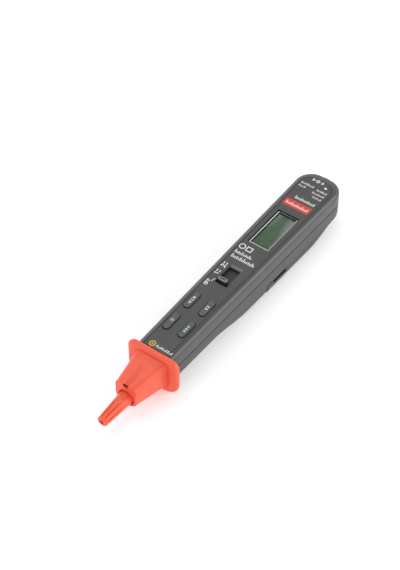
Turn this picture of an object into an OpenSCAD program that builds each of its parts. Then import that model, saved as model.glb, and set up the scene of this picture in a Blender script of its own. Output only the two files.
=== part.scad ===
// Pen multimeter with a twist-out probe, a slide switch, four keys and a small display.
// Lengths are in millimetres. The pen lies on its back, face up, with its tip towards -X.
// Inside the modules X is counted from the tip of the sleeve, and Z from the table.

/* [Overall] */
// Length from the tip of the sleeve to the socket end
overall_length = 191; // [186:1:200]
// Height of the flat face above the table
face_height = 23.6; // [23:0.1:25]
// Height of the seam between front and rear case
seam_height = 14.4; // [13.8:0.1:15]
// Height of the probe axis above the table
tip_height = 10.5; // [10.2:0.1:10.8]

/* [Case] */
// Where the case begins, behind the finger guard
case_start = 41.6; // [41:0.1:43]
// Width of the case at the finger guard
case_width_front = 20.8; // [20.4:0.1:21.6]
// Width of the case at the socket end
case_width_rear = 25.2; // [25:0.1:27]
// Radius of the two corners at the socket end, seen from above
corner_radius = 9.8; // [9:0.1:9.9]
// Thickness of the side walls
wall = 1.8; // [1.5:0.1:1.9]
// Thickness of the face plate
face_wall = 2; // [1.8:0.1:2.2]
// Width of the chamfer along the upper edge
chamfer_width = 1.4; // [1:0.1:1.8]
// Drop of that chamfer
chamfer_drop = 1.2; // [0.8:0.1:1.6]
// Drop of the border between the panel and the chamfer
border_drop = 0.5; // [0.2:0.1:0.8]
// Width of the border from the case edge to the panel groove
panel_margin = 3.1; // [2.6:0.1:3.4]
// The same at the socket end
panel_end_margin = 4.8; // [4:0.1:5.5]
// Width and depth of the panel groove
panel_groove = 0.3; // [0.2:0.05:0.4]

/* [Belly] */
// Height of the underside next to the guard
belly_front = 4.6; // [4.2:0.1:4.8]
// Height of the underside at the socket end
belly_tail = 4.2; // [3.8:0.1:4.6]
// Where the underside starts to swell
swell_start = 74; // [68:1:78]
// Where the swell has its full depth
swell_full = 104; // [98:1:106]
// Length from the socket end over which the underside rises again
tail_run = 33; // [28:1:38]
// Length at the socket end over which it has risen
tail_rest = 11; // [11:0.5:12]
// Radius of the long lower edges
belly_radius = 4.2; // [3.6:0.1:4.8]

/* [Battery door] */
// Start of the door
door_start = 119.6; // [119:0.1:121]
// Distance from the door to the socket end
door_tail = 13; // [12:0.5:15]
// Height of the door's edge on the side walls
door_height = 7; // [6.8:0.1:7.3]
// How far the door stands proud of the case
door_proud = 0.35; // [0.2:0.05:0.5]
// Gap round the door
door_gap = 0.15; // [0.1:0.05:0.25]
// Length of the finger notch in the door's edge
notch_length = 11; // [8:0.5:14]
// Height of that notch
notch_height = 0.8; // [0.5:0.1:1]

/* [Finger guard] */
// Front face of the guard
guard_start = 18.5; // [17.5:0.1:19.5]
// Front of the flange
flange_front = 38.6; // [38:0.1:39]
// Width of the flange
flange_width = 30; // [28.5:0.1:31]
// Height of the flange
flange_height = 23.9; // [23.6:0.1:24.4]
// Width of the guard where it meets the flange
guard_width = 18.2; // [17:0.1:19]
// Width of the guard's front face
guard_nose_width = 12.9; // [12.2:0.1:13.6]
// Height of the nose's front edge above the probe axis
nose_rise = 9.1; // [8.8:0.1:9.4]
// Radius of the counterbore round the sleeve
guard_mouth_r = 4.8; // [4.75:0.05:5.1]

/* [Tip] */
// Radius of the sleeve at its tip
sleeve_tip_r = 2.8; // [2.7:0.05:3]
// Radius of the sleeve where it enters the guard
sleeve_base_r = 4.05; // [4:0.05:4.3]
// Number of flutes round the sleeve
flute_count = 8; // [6:1:10]
// Radius of the steel pin
pin_r = 1; // [0.9:0.05:1.1]
// How far the pin slides out
pin_travel = 10; // [8:0.5:10]
// How far the sleeve turns for that, in degrees
sleeve_turn = 180; // [150:10:200]

/* [Keys] */
// Length of a key cap
key_length = 11.6; // [10.5:0.1:12]
// Width of a key cap
key_width = 3.6; // [3.2:0.1:4]
// Distance between the two columns of keys
key_column_gap = 9.2; // [9:0.1:9.8]
// Centre of the row next to the guard
key_row_front = 60.4; // [60:0.1:61]
// Distance between the two rows of keys
key_row_gap = 16.8; // [16.4:0.1:17.4]
// Height of a key above the face
key_proud = 0.6; // [0.5:0.05:0.9]
// How far a key can be pressed
key_travel = 0.5; // [0.3:0.05:0.5]

/* [Slide switch] */
// Tip end of the slot
slot_start = 94.6; // [94:0.1:96]
// Length of the slot
slot_length = 12.4; // [11.5:0.1:13]
// Width of the slot
slot_width = 6.2; // [5.8:0.1:6.6]
// Length of the knob along the pen
knob_length = 2.2; // [1.8:0.1:2.6]
// Width of the knob across the pen
knob_width = 4.9; // [4.4:0.1:5.2]
// Height of the knob above the face
knob_proud = 1.7; // [1.2:0.1:2.2]

/* [Display] */
// How far the window lies past the middle between the switch and the socket
window_shift = 2.5; // [1.5:0.1:3]
// Length of the clear window
window_length = 26.8; // [25:0.1:27.4]
// Width of the clear window
window_width = 11.5; // [10.6:0.1:11.8]
// Width of the bevel round the window
window_bevel = 0.3; // [0.2:0.1:0.6]
// Gap round the pane in the window
pane_gap = 0.6; // [0.4:0.05:0.7]
// How far the pane lies below the face
pane_drop = 0.6; // [0.4:0.1:0.8]

/* [Socket] */
// Radius of the plug bore
socket_r = 2; // [2:0.05:2.1]
// Depth of the plug bore
socket_depth = 17; // [15:0.5:17]
// How far the brass tube stands back from the end
socket_recess = 2.8; // [2:0.1:3.5]
// Wall of the brass tube
socket_wall = 0.6; // [0.5:0.05:0.7]
// Radius of the shroud round it
shroud_r = 3.6; // [3.4:0.1:3.8]
// Outer radius of the ring on the case round the socket
collar_r = 7.4; // [6.8:0.1:7.8]
// How far that ring stands out from the case
collar_proud = 0.6; // [0.4:0.1:0.8]

/* [Inside] */
// Thickness of the circuit board
board_thick = 1.6; // [1:0.1:1.6]
// Depth of the board's underside below the face plate
board_drop = 5.9; // [5.8:0.1:6.1]
// Gap between the lens and the display glass
glass_gap = 0.5; // [0.3:0.1:0.6]
// Diameter of the coin cell
cell_diameter = 20; // [19:0.5:20]
// Thickness of the coin cell
cell_thick = 3.2; // [2.5:0.1:3.2]
// Radius of the screws
screw_r = 1; // [0.8:0.05:1.1]

/* [Hidden] */

$fn = 48;
eps = 0.01;
slack = 0.1;
running = 0.05;
seam_groove = 0.15;
shadow_depth = 0.45;
shadow_height = 0.3;
body_grey = [0.29, 0.29, 0.28];
red = [0.93, 0.22, 0.14];
key_blue = [0.36, 0.41, 0.43];

// Half the width of the case at x, with the rounded corners at the socket end
case_end = overall_length - collar_proud;
corner_x = case_end - corner_radius;
function taper_half(x) = (case_width_front + (case_width_rear - case_width_front)
    * min(1, max(0, (x - case_start) / (corner_x - case_start)))) / 2;
function case_half(x, inset = 0) = x <= corner_x
    ? taper_half(x) - inset
    : case_width_rear / 2 - corner_radius
        + sqrt(max(0, pow(corner_radius - inset, 2) - pow(x - corner_x, 2)));

// Places counted back from the socket end
door_end = overall_length - door_tail;
tail_start = overall_length - tail_run;
tail_full = overall_length - tail_rest;

// Height of the underside at x: low in the middle, higher at both ends
function ease(t) = let (c = min(1, max(0, t))) c * c * (3 - 2 * c);
function belly(x) = door_proud
    + (belly_front - door_proud) * (1 - ease((x - swell_start) / (swell_full - swell_start)))
    + (belly_tail - door_proud) * ease((x - tail_start) / (tail_full - tail_start));

face_under = face_height - face_wall;
board_height = face_under - board_drop;
board_top = board_height + board_thick;
centre_shift = overall_length / 2;
reach = case_width_rear;

// Closed skin over rings that have the same number of points
module loft(rings) {
    count = len(rings[0]);
    last = len(rings) - 1;
    points = [for (ring = rings) for (p = ring) p];
    sides = [for (i = [0 : last - 1], j = [0 : count - 1])
        let (a = i * count + j, b = i * count + (j + 1) % count)
            for (face = [[a, b, b + count], [a, b + count, a + count]]) face];
    front = [for (j = [count - 1 : -1 : 0]) j];
    back = [for (j = [0 : count - 1]) last * count + j];
    polyhedron(points, concat([front, back], sides));
}

// A bar along X from a flat outline drawn in Y and Z
module along_x(x0, x1) {
    translate([x0, 0, 0]) rotate([90, 0, 90]) linear_extrude(x1 - x0) children();
}

// A round bar along X on an axis at height z
module rod_x(x0, x1, r, y = 0, z = tip_height, r2 = -1) {
    translate([x0, y, z]) rotate([0, 90, 0])
        cylinder(r1 = r, r2 = r2 < 0 ? r : r2, h = x1 - x0);
}

module upright(x, y, z0, z1, r) {
    translate([x, y, z0]) cylinder(r = r, h = z1 - z0);
}

module box(low, high) {
    translate(low) cube(high - low);
}

// Outline with two round ends, along X
module pill(length, width) {
    square([length - width, width], center = true);
    for (s = [-1, 1]) translate([s * (length - width) / 2, 0]) circle(d = width);
}

module rounded(size, r) {
    square([size[0] - 2 * r, size[1]], center = true);
    square([size[0], size[1] - 2 * r], center = true);
    for (a = [-1, 1], b = [-1, 1])
        translate([a * (size[0] / 2 - r), b * (size[1] / 2 - r)]) circle(r = r);
}

// Both sides of the pen
module both_sides() {
    for (s = [0, 1]) mirror([0, s, 0]) children();
}

// Outline of the case seen from above, drawn in by inset at the sides and end_inset at the end
module case_plan(inset = 0, end_inset = 0) {
    r = corner_radius - inset;
    end = corner_x - end_inset;
    side = case_width_rear / 2 - corner_radius;
    polygon(concat(
        [[case_start, case_width_front / 2 - inset]],
        [for (i = [0 : 8]) let (a = 90 - 11.25 * i) [end + r * cos(a), side + r * sin(a)]],
        [for (i = [8 : -1 : 0]) let (a = 90 - 11.25 * i) [end + r * cos(a), -side - r * sin(a)]],
        [[case_start, -case_width_front / 2 + inset]]));
}

// One cross-section of the lower case, from seam to seam under the belly
function belly_ring(x, half, low, r) = let (steps = 6) concat(
    [[x, half, seam_height]],
    [for (i = [0 : steps]) let (a = 90 * i / steps)
        [x, half - r * (1 - cos(a)), low + r * (1 - sin(a))]],
    [for (i = [steps : -1 : 0]) let (a = 90 * i / steps)
        [x, -half + r * (1 - cos(a)), low + r * (1 - sin(a))]],
    [[x, -half, seam_height]]);

// The lower case as a solid, drawn in by inset on every side but the seam and the front
module belly_solid(inset = 0) {
    end_r = corner_radius - inset;
    swell = [for (i = [0 : 6]) swell_start + (swell_full - swell_start) * i / 6];
    tail = [for (i = [0 : 5]) tail_start + (tail_full - tail_start) * i / 5];
    along = concat([case_start - (inset > 0 ? 1 : 0)], swell, tail, [corner_x]);
    loft(concat(
        [for (x = along) belly_ring(x, case_half(x, inset), belly(x) + inset,
            belly_radius - inset)],
        [for (i = [1 : 6]) let (a = 15 * i, x = corner_x + end_r * sin(a),
                half = case_width_rear / 2 - corner_radius + end_r * cos(a))
            belly_ring(x, half, belly_tail + inset + belly_radius * (1 - cos(a)),
                min(belly_radius - inset, half - 0.5))]));
}

// Socket: brass tube in its insulator on the seam line
tube_r = socket_r + socket_wall;
tube_back = 1.2;
shroud_depth = 6;
tube_end = overall_length - socket_recess;
tube_start = tube_end - socket_depth - tube_back;
insulator_r = shroud_r + 0.8;
insulator_start = tube_start + 3;
saddle_x = insulator_start + 1;
window_centre = (slot_start + slot_length + tube_start) / 2 + window_shift;

// Screws that join the two halves: x, y and the height under their heads
rear_screw_y = case_width_rear / 2 - wall - 2.8;
rear_screw_x = (window_centre + window_length / 2 + door_end) / 2 - 1;
mid_screw_x = slot_start + slot_length + 5;
mid_screw_y = taper_half(mid_screw_x) - wall - 2.5;
front_screw_x = key_row_front + key_row_gap / 2;
case_screw_seats = [
    [front_screw_x, 0, belly(front_screw_x) + 2.2],
    [mid_screw_x, mid_screw_y, 5], [mid_screw_x, -mid_screw_y, 5],
    [rear_screw_x, rear_screw_y, door_height + 1.2],
    [rear_screw_x, -rear_screw_y, door_height + 1.2]];
post_r = screw_r + 0.9;
post_foot_r = post_r + 1.1;
head_r = screw_r + 0.9;
head_height = 1.2;

// Keys: place of each one, as column and row
key_y = key_column_gap / 2;
key_rows = [key_row_front, key_row_front + key_row_gap];
lip = 0.5;
lip_thick = 0.6;
dome_height = 0.5;

// The knob at rest, and how far it slides
knob_x = slot_start + 0.9 + knob_length / 2;
slider_travel = slot_length - knob_length - 1.4;
deck_top = face_under - slack;
deck_thick = 0.8;
deck_start = slot_start - slider_travel - 0.5;
deck_end = slot_start + slot_length + 0.5;
deck_half = slot_width / 2 + 0.6;
guide_lap = 4;

board_start = key_row_front - key_length / 2 + 1.4;
board_end = tube_start - 2;

// Display stack, from the lens down to the board
lens_size = [window_length + 4.2, window_width + 3.8];
lens_thick = 1;
glass_size = [window_length + 3.6, window_width + 4.2];
glass_thick = 1.7;
glass_low = face_under - glass_gap - glass_thick;
holder_rim = 1;
strip_width = 1.6;
strip_inset = 0.4;

// Probe drive: peg places, and the radii of guide, drum and cavity
drum_start = guard_start + 7.5;
drum_end = case_start - 0.4;
peg_rest = drum_end - 2;
peg_r = 0.9;
carrier_r = pin_r + 1.45;
guide_bore = carrier_r + running;
guide_r = guide_bore + 1.2;
spigot_half = case_width_front / 2 - wall - slack;
spigot_low = belly_front + wall + slack;
spigot_high = face_under - slack;
spigot_wall = 1;
guide_flange = 2;
drum_bore = guide_r + slack;
drum_r = drum_bore + 1.2;
neck_r = sleeve_base_r + 0.3;
cavity_r = drum_r + slack;
led_r = 1;
led_length = 3.5;
led_start = guard_start + 4.5;
led_wire_r = 0.25;
led_z = tip_height + cavity_r + led_r + 0.8;
led_bend = board_start - 1;
nose_front_top = tip_height + nose_rise;
nose_rear_top = flange_height - 2.4;
nose_low_r = 5;
nose_low_z = 8;
nose_top_r = 3.2;
neck_step = 2;
trough_r = 2.4;
trough_depth = 0.8;
torch_slot = [3.2, 1.1];

// Battery bay
cell_x = door_start + wall + cell_diameter / 2 + 2.6;
cell_low = 2.4;
bay_floor = door_height;
bay_floor_thick = 1.4;
door_screw_x = rear_screw_x;
door_boss_top = 3.8;
strip = 0.3;
leaf_x = cell_x + 6;
leaf_half = 1.5;
leaf_bend = 5;
leaf_touch = 9;
leaf_tip = 11;
rib_shift = 5;
rib_half = 5;
notch_shift = 9;

module front_case() {
    color(body_grey) difference() {
        union() {
            difference() {
                front_shell();
                translate([0, 0, seam_height - eps])
                    linear_extrude(face_under - seam_height + eps)
                        translate([-wall, 0]) case_plan(wall, -wall);
            }
            front_inside();
            intersection() {
                collar();
                box([corner_x, -reach, seam_height], [overall_length, reach, face_height]);
            }
        }
        translate([0, 0, face_height - panel_groove]) linear_extrude(1) difference() {
            case_plan(panel_margin, panel_end_margin - panel_margin);
            translate([-1, 0]) case_plan(panel_margin + panel_groove,
                panel_end_margin - panel_margin - 1);
        }
        for (x = key_rows, s = [-1, 1]) translate([x, s * key_y, face_under - 1])
            linear_extrude(face_wall + 2) pill(key_length + 4 * slack, key_width + 4 * slack);
        slot_cut();
        window_cut();
        shadow_groove();
        for (seat = case_screw_seats)
            upright(seat[0], seat[1], seam_height, face_under - 0.4, screw_r);
        rod_x(saddle_x - 1, overall_length + 1, insulator_r + running, z = seam_height);
    }
}

// Upper case as a solid: side walls, chamfer, border and flat panel
module front_shell() {
    draft = 0.2;
    hull() {
        translate([0, 0, seam_height]) linear_extrude(eps) case_plan(seam_groove);
        translate([0, 0, seam_height + seam_groove]) linear_extrude(eps) case_plan(0);
        translate([0, 0, face_height - border_drop - chamfer_drop]) linear_extrude(eps)
            case_plan(draft);
        translate([0, 0, face_height - border_drop]) linear_extrude(eps)
            case_plan(chamfer_width);
        translate([0, 0, face_height - eps]) linear_extrude(eps)
            case_plan(panel_margin - panel_groove, panel_end_margin - panel_margin);
    }
}

// Fine groove round the side walls, just under the chamfer
module shadow_groove() {
    top = face_height - border_drop - chamfer_drop - 0.1;
    translate([0, 0, top - shadow_height]) linear_extrude(shadow_height) difference() {
        translate([-1, 0]) case_plan(-1, -1);
        case_plan(shadow_depth);
    }
}

// Raised ring on the end of the case round the socket, with a chamfered edge
module collar() {
    edge = 0.3;
    rod_x(case_end - wall, overall_length - edge, collar_r, z = seam_height);
    rod_x(overall_length - edge, overall_length, collar_r, z = seam_height, r2 = collar_r - edge);
}

// Posts, switch guides and socket saddle under the face
module front_inside() {
    for (seat = case_screw_seats)
        upright(seat[0], seat[1], board_top, face_under + eps, post_r);
    both_sides() box([slot_start - guide_lap, deck_half + 2 * slack, deck_top - 2],
        [slot_start + slot_length + guide_lap, deck_half + 2 * slack + 1, face_under + eps]);
    box([saddle_x, -insulator_r - 1, seam_height],
        [saddle_x + 2, insulator_r + 1, face_under + eps]);
}

// The slot for the switch knob, with its sloping rim
module slot_cut() {
    rim = 1.1;
    depth = 0.9;
    end = slot_start + slot_length;
    box([slot_start, -slot_width / 2, face_under - 1], [end, slot_width / 2, face_height]);
    hull() {
        box([slot_start - 0.4, -slot_width / 2 - rim, face_height],
            [end + 2, slot_width / 2 + rim, face_height + 1]);
        box([slot_start, -slot_width / 2, face_height - depth],
            [end, slot_width / 2, face_height]);
    }
}

// The window with its bevel, and the pocket for the lens behind it
module window_cut() {
    half = window_length / 2;
    side = window_width / 2;
    slope = window_bevel + pane_gap;
    hull() {
        box([window_centre - half - slope, -side - slope, face_height],
            [window_centre + half + slope, side + slope, face_height + 1]);
        box([window_centre - half - pane_gap, -side - pane_gap, face_height - pane_drop],
            [window_centre + half + pane_gap, side + pane_gap, face_height]);
    }
    box([window_centre - half - pane_gap, -side - pane_gap, face_under - 1],
        [window_centre + half + pane_gap, side + pane_gap, face_height]);
    translate([window_centre, 0, face_under - 1]) linear_extrude(1 + lens_thick)
        square(lens_size + [2 * slack, 2 * slack], center = true);
}

module rear_case() {
    color(body_grey) difference() {
        union() {
            difference() {
                belly_solid();
                belly_solid(wall);
                box([case_start - 2, -reach, seam_height - eps],
                    [overall_length + reach, reach, seam_height + 1]);
            }
            intersection() {
                belly_solid();
                rear_inside();
            }
            intersection() {
                collar();
                box([corner_x, -reach, 0], [overall_length, reach, seam_height]);
            }
            for (seat = case_screw_seats)
                upright(seat[0], seat[1], seam_height - 2, board_height, post_r);
        }
        box([door_start, -reach, -1], [door_end, reach, door_height]);
        for (seat = case_screw_seats) {
            upright(seat[0], seat[1], -1, board_height + 1, screw_r + slack);
            upright(seat[0], seat[1], -1, seat[2], head_r + slack);
        }
        upright(door_screw_x, 0, door_boss_top, bay_floor + bay_floor_thick + 2, screw_r);
        contact_slots();
        box([door_start - wall - 1, -3.2, cell_low + 1.4], [door_start + 1, 3.2, cell_low + 3]);
        rod_x(saddle_x - 1, overall_length + 1, insulator_r + running, z = seam_height);
    }
    color(body_grey) difference() {
        upright(door_screw_x, 0, door_boss_top, bay_floor, post_r + 1);
        upright(door_screw_x, 0, door_boss_top - 1, bay_floor + 1, screw_r);
    }
}

// Bay floor, bulkheads, screw posts and socket saddle inside the rear case
module rear_inside() {
    box([door_start - wall, -reach, bay_floor],
        [door_end + wall, reach, bay_floor + bay_floor_thick]);
    for (x = [door_start - wall, door_end])
        box([x, -reach, 0], [x + wall, reach, bay_floor + eps]);
    for (seat = case_screw_seats)
        upright(seat[0], seat[1], 0, seam_height - 1.5, seat[2] > bay_floor ? post_r : post_foot_r);
    box([saddle_x, -insulator_r - 1, 0], [saddle_x + 2, insulator_r + 1, seam_height]);
}

// Slots in the bay floor for the two cell contacts
module contact_slots() {
    box([cell_x - cell_diameter / 2 - strip - slack, -2 - slack, bay_floor - 1],
        [cell_x - cell_diameter / 2 + slack, 2 + slack, bay_floor + 2]);
    box([leaf_x - slack, -leaf_half - slack, bay_floor - 1],
        [leaf_x + strip + slack, leaf_half + slack, bay_floor + 2]);
}

module battery_door() {
    color(body_grey) difference() {
        union() {
            intersection() {
                difference() {
                    belly_solid(-door_proud);
                    belly_solid(wall - 0.4);
                }
                box([door_start + door_gap, -reach, -1],
                    [door_end - door_gap, reach, door_height - door_gap]);
            }
            upright(door_screw_x, 0, belly(door_screw_x) + wall - 0.6, door_boss_top,
                head_r + 1.5);
            for (x = [cell_x - rib_shift, cell_x + rib_shift])
                box([x - 0.5, -rib_half, wall - 0.4], [x + 0.5, rib_half, cell_low]);
            box([door_start - wall - 0.8, -3, cell_low + 1.6], [door_start + 1.4, 3, cell_low + 2.8]);
            box([door_start + door_gap, -3, wall - 0.4], [door_start + 1.4, 3, cell_low + 2]);
        }
        both_sides() box(
            [cell_x - notch_shift, rib_half, door_height - door_gap - notch_height],
            [cell_x - notch_shift + notch_length, reach, door_height]);
        upright(cell_x, 0, cell_low, door_height + 1, cell_diameter / 2 + 2 * slack);
        upright(door_screw_x, 0, -1, door_boss_top + 1, screw_r + slack);
        upright(door_screw_x, 0, -1, belly(door_screw_x) + head_height, head_r + slack);
    }
}

// A pan-head screw standing on its head, with a cross recess in the head
module screw(x, y, seat, top) {
    difference() {
        union() {
            upright(x, y, seat - head_height, seat, head_r);
            upright(x, y, seat - eps, top, screw_r);
        }
        for (a = [0, 90]) translate([x, y, seat - head_height]) rotate(a)
            cube([head_r * 1.2, 0.4, 1.1], center = true);
    }
}

module door_screw() {
    color("silver") screw(door_screw_x, 0, belly(door_screw_x) + head_height,
        bay_floor + bay_floor_thick);
}

module case_screws() {
    color("silver") for (seat = case_screw_seats)
        screw(seat[0], seat[1], seat[2], face_under - 1);
}

// Cross-section of the guard: a round lower half and two upper corners
module guard_section(x, half, low_r, low_z, top_z, top_r) {
    for (s = [-1, 1]) {
        rod_x(x, x + eps, low_r, s * (half - low_r), low_z);
        rod_x(x, x + eps, top_r, s * (half - top_r), top_z - top_r);
    }
}

module guard_outside() {
    half = guard_width / 2;
    nose_half = guard_nose_width / 2;
    flange_half = flange_width / 2;
    hull($fn = 32) {
        guard_section(guard_start, nose_half - 0.6, nose_half - 0.7, tip_height,
            nose_front_top - 0.8, 2.4);
        guard_section(guard_start + 1.6, nose_half, nose_half - 0.2, tip_height,
            nose_front_top, 2.8);
        guard_section(flange_front, half, nose_low_r, nose_low_z, nose_rear_top, nose_top_r);
    }
    hull($fn = 32) {
        guard_section(flange_front - 1, half + 0.6, 5.2, 7.6, nose_rear_top + 0.5, 3.4);
        guard_section(flange_front + 0.4, flange_half - 0.7, 6.3, 7, flange_height - 0.6, 4);
        guard_section(flange_front + 1.1, flange_half, 7, 7, flange_height, 4.5);
        guard_section(case_start - 0.7, flange_half, 7, 7, flange_height, 4.5);
        guard_section(case_start - eps, flange_half - 0.4, 6.6, 7, flange_height - 0.3, 4.2);
    }
}

// Trough that runs down the top of the nose to the torch, deepest at its mouth
module torch_trough() {
    run = flange_front - guard_start - 2.5;
    rise = nose_rear_top - nose_front_top;
    translate([guard_start, 0, nose_front_top - trough_depth + trough_r])
        rotate([0, 90 - atan((rise + trough_depth) / run), 0])
            translate([0, 0, -1]) cylinder(r = trough_r, h = run + 3);
}

module finger_guard() {
    color(red) difference() {
        union() {
            guard_outside();
            along_x(case_start - eps, case_start + 5) translate([0, (spigot_low + spigot_high) / 2])
                rounded([2 * spigot_half, spigot_high - spigot_low], 3);
        }
        along_x(case_start, case_start + 6) translate([0, (spigot_low + spigot_high) / 2])
            rounded([2 * spigot_half - 2 * spigot_wall,
                spigot_high - spigot_low - 2 * spigot_wall], 1.6);
        torch_trough();
        rod_x(guard_start - 1, guard_start + 1.5, guard_mouth_r);
        rod_x(guard_start, drum_start + 1, neck_r + running);
        rod_x(drum_start, case_start + 1, cavity_r);
        rod_x(led_start - slack, case_start + 1, led_r + running, z = led_z);
        along_x(guard_start - 1, led_start)
            translate([0, nose_front_top - trough_depth - torch_slot[1] / 2 + 0.4])
                pill(torch_slot[0], torch_slot[1]);
    }
}

// Fixed tube with a straight slot that keeps the peg upright
module pin_guide() {
    color("dimgray") difference() {
        union() {
            rod_x(drum_start + 0.5, case_start + eps, guide_r);
            box([case_start, -cavity_r - 0.7, spigot_low + spigot_wall + slack],
                [case_start + guide_flange, cavity_r + 0.7, tip_height + guide_r + 0.6]);
        }
        rod_x(drum_start - 1, case_start + guide_flange + 1, guide_bore);
        translate([0, 0, tip_height])
            box([peg_rest - pin_travel - peg_r - slack, -peg_r - slack, 0],
                [peg_rest + peg_r + slack, peg_r + slack, guide_r + 1]);
    }
}

module torch_led() {
    color([0.9, 0.95, 1]) {
        rod_x(led_start + led_r, led_start + led_length, led_r, z = led_z);
        translate([led_start + led_r, 0, led_z]) sphere(r = led_r);
    }
    lie_z = board_top + led_wire_r;
    color("silver") for (y = [-0.5, 0.5]) {
        rod_x(led_start + led_length - eps, led_bend, led_wire_r, y, led_z);
        upright(led_bend, y, min(led_z, lie_z) - led_wire_r, max(led_z, lie_z) + led_wire_r,
            led_wire_r + eps);
        rod_x(led_bend, board_start + 1.5, led_wire_r, y, lie_z);
    }
}

// Plate behind the face, with a raised pane that fills the window
module window_lens() {
    color([0.8, 0.85, 0.8, 0.5]) translate([window_centre, 0, face_under]) {
        linear_extrude(lens_thick) square(lens_size, center = true);
        linear_extrude(face_wall - pane_drop) rounded([window_length, window_width], 0.4);
    }
}

module display_glass() {
    color([0.45, 0.53, 0.45]) translate([window_centre, 0, glass_low])
        linear_extrude(glass_thick) square(glass_size, center = true);
}

module display_holder() {
    color("dimgray") translate([window_centre, 0, board_top]) difference() {
        linear_extrude(face_under - slack - board_top)
            square(glass_size + [2 * holder_rim, 2 * holder_rim], center = true);
        translate([0, 0, -1]) linear_extrude(face_height - board_top)
            square(glass_size, center = true);
    }
}

module zebra_strips() {
    outer = glass_size[1] / 2 - strip_inset;
    color("black") both_sides()
        box([window_centre - window_length / 2, outer - strip_width, board_top],
            [window_centre + window_length / 2, outer, glass_low]);
}

// The board follows the taper of the case and lets the screws through
module main_board() {
    margin = wall + 0.5;
    front = taper_half(board_start) - margin;
    rear = taper_half(board_end) - margin;
    color([0.05, 0.35, 0.2]) difference() {
        translate([0, 0, board_height]) linear_extrude(board_thick)
            polygon([[board_start, -front], [board_end, -rear], [board_end, rear],
                [board_start, front]]);
        for (seat = case_screw_seats)
            upright(seat[0], seat[1], board_height - 1, board_top + 1, screw_r + slack);
    }
}

module processor() {
    x = (mid_screw_x + cell_x - cell_diameter / 2) / 2;
    half = 4.5;
    color([0.1, 0.1, 0.11])
        box([x - half, -half, board_height - 1.4], [x + half, half, board_height]);
}

module key_domes() {
    color("silver") for (x = key_rows, s = [-1, 1])
        translate([x, s * key_y, board_top])
            cylinder(r1 = 2.2, r2 = 1.2, h = dome_height);
}

// Gold tracks that the wiper runs on
module switch_pads() {
    color("gold") for (y = [-1.6, 0, 1.6])
        box([knob_x - 2, y - 0.4, board_top],
            [knob_x + slider_travel + 2, y + 0.4, board_top + 0.1]);
}

module buzzer() {
    x = (swell_start + swell_full) / 2 + 1;
    color([0.12, 0.12, 0.12]) difference() {
        upright(x, 0, board_height - 4.5, board_height, 4.5);
        upright(x, 0, board_height - 5, board_height - 3.5, 0.8);
    }
}

// Axial resistor on two bent legs
module input_resistor() {
    x = key_rows[1] - 2;
    z = board_height - 3;
    color([0.2, 0.45, 0.6]) translate([x, -3.5, z]) rotate([-90, 0, 0]) cylinder(r = 1.3, h = 7);
    color("silver") for (s = [-1, 1]) {
        translate([x, s * 4.5 - 1.25, z]) rotate([-90, 0, 0]) cylinder(r = 0.3, h = 2.5);
        upright(x, s * 5.5, z - 0.3, board_height, 0.3);
    }
}

module crystal() {
    r = 1.5;
    half = 3;
    color("silver") translate([cell_x - 4, -half, board_height - r])
        rotate([-90, 0, 0]) cylinder(r = r, h = 2 * half);
}

module capacitors() {
    color([0.15, 0.2, 0.35]) both_sides()
        upright(cell_x + 2, 4.5, board_height - 4.5, board_height, 2);
}

module socket_tube() {
    color("goldenrod") difference() {
        rod_x(tube_start, tube_end, tube_r, z = seam_height);
        rod_x(tube_end - socket_depth, tube_end + 1, socket_r, z = seam_height);
    }
}

module socket_insulator() {
    inner_wall = case_end - wall;
    color([0.08, 0.08, 0.08]) difference() {
        union() {
            rod_x(insulator_start, overall_length, insulator_r, z = seam_height);
            rod_x(inner_wall - 3, inner_wall - 0.6, insulator_r + 0.9, z = seam_height);
        }
        rod_x(insulator_start - 1, overall_length + 1, tube_r, z = seam_height);
        rod_x(tube_end - shroud_depth, overall_length + 1, shroud_r, z = seam_height);
    }
}

// Brass tab from the back of the socket to the board
module socket_tab() {
    half = 1.5;
    foot = 1.2;
    color("goldenrod") {
        box([tube_start - strip, -half, seam_height - 2], [tube_start, half, board_top + strip]);
        box([board_end - foot, -half, board_top],
            [tube_start - strip + eps, half, board_top + strip]);
    }
}

module coin_cell() {
    edge = 0.4;
    color("silver") translate([cell_x, 0, cell_low]) rotate_extrude($fn = 96)
        polygon([[0, 0], [cell_diameter / 2 - edge, 0], [cell_diameter / 2, edge],
            [cell_diameter / 2, cell_thick - 0.9], [cell_diameter / 2 - 1, cell_thick - 0.5],
            [cell_diameter / 2 - 1.2, cell_thick], [0, cell_thick]]);
}

module cell_contact_plus() {
    x = cell_x - cell_diameter / 2;
    color("silver") box([x - strip, -2, cell_low + 0.4], [x, 2, board_height]);
}

// Leaf that presses on the cell from the bay floor, and its tail to the board
module cell_contact_minus() {
    top = cell_low + cell_thick;
    x = leaf_x;
    color("silver") translate([0, leaf_half, 0]) rotate([90, 0, 0])
        linear_extrude(2 * leaf_half) polygon([
        [x + strip, board_height], [x, board_height], [x, bay_floor], [x - leaf_bend, bay_floor],
        [x - leaf_touch, top + strip], [x - leaf_tip, top + strip + 0.4],
        [x - leaf_tip, top + 0.4], [x - leaf_touch, top],
        [x - leaf_bend, bay_floor - strip], [x + strip, bay_floor - strip]]);
}

// Leaf from the board that rests on the pin
module pin_contact() {
    top = tip_height + pin_r + running;
    x = case_start + 5;
    color("goldenrod") translate([0, 1.2, 0]) rotate([90, 0, 0]) linear_extrude(2.4) polygon([
        [board_start + 4, board_height], [board_start, board_height], [x + 2, top + strip],
        [x, top + strip + 0.5], [x, top + 0.5], [x + 2, top], [board_start + 0.2, board_height - strip],
        [board_start + 4, board_height - strip]]);
}

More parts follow.
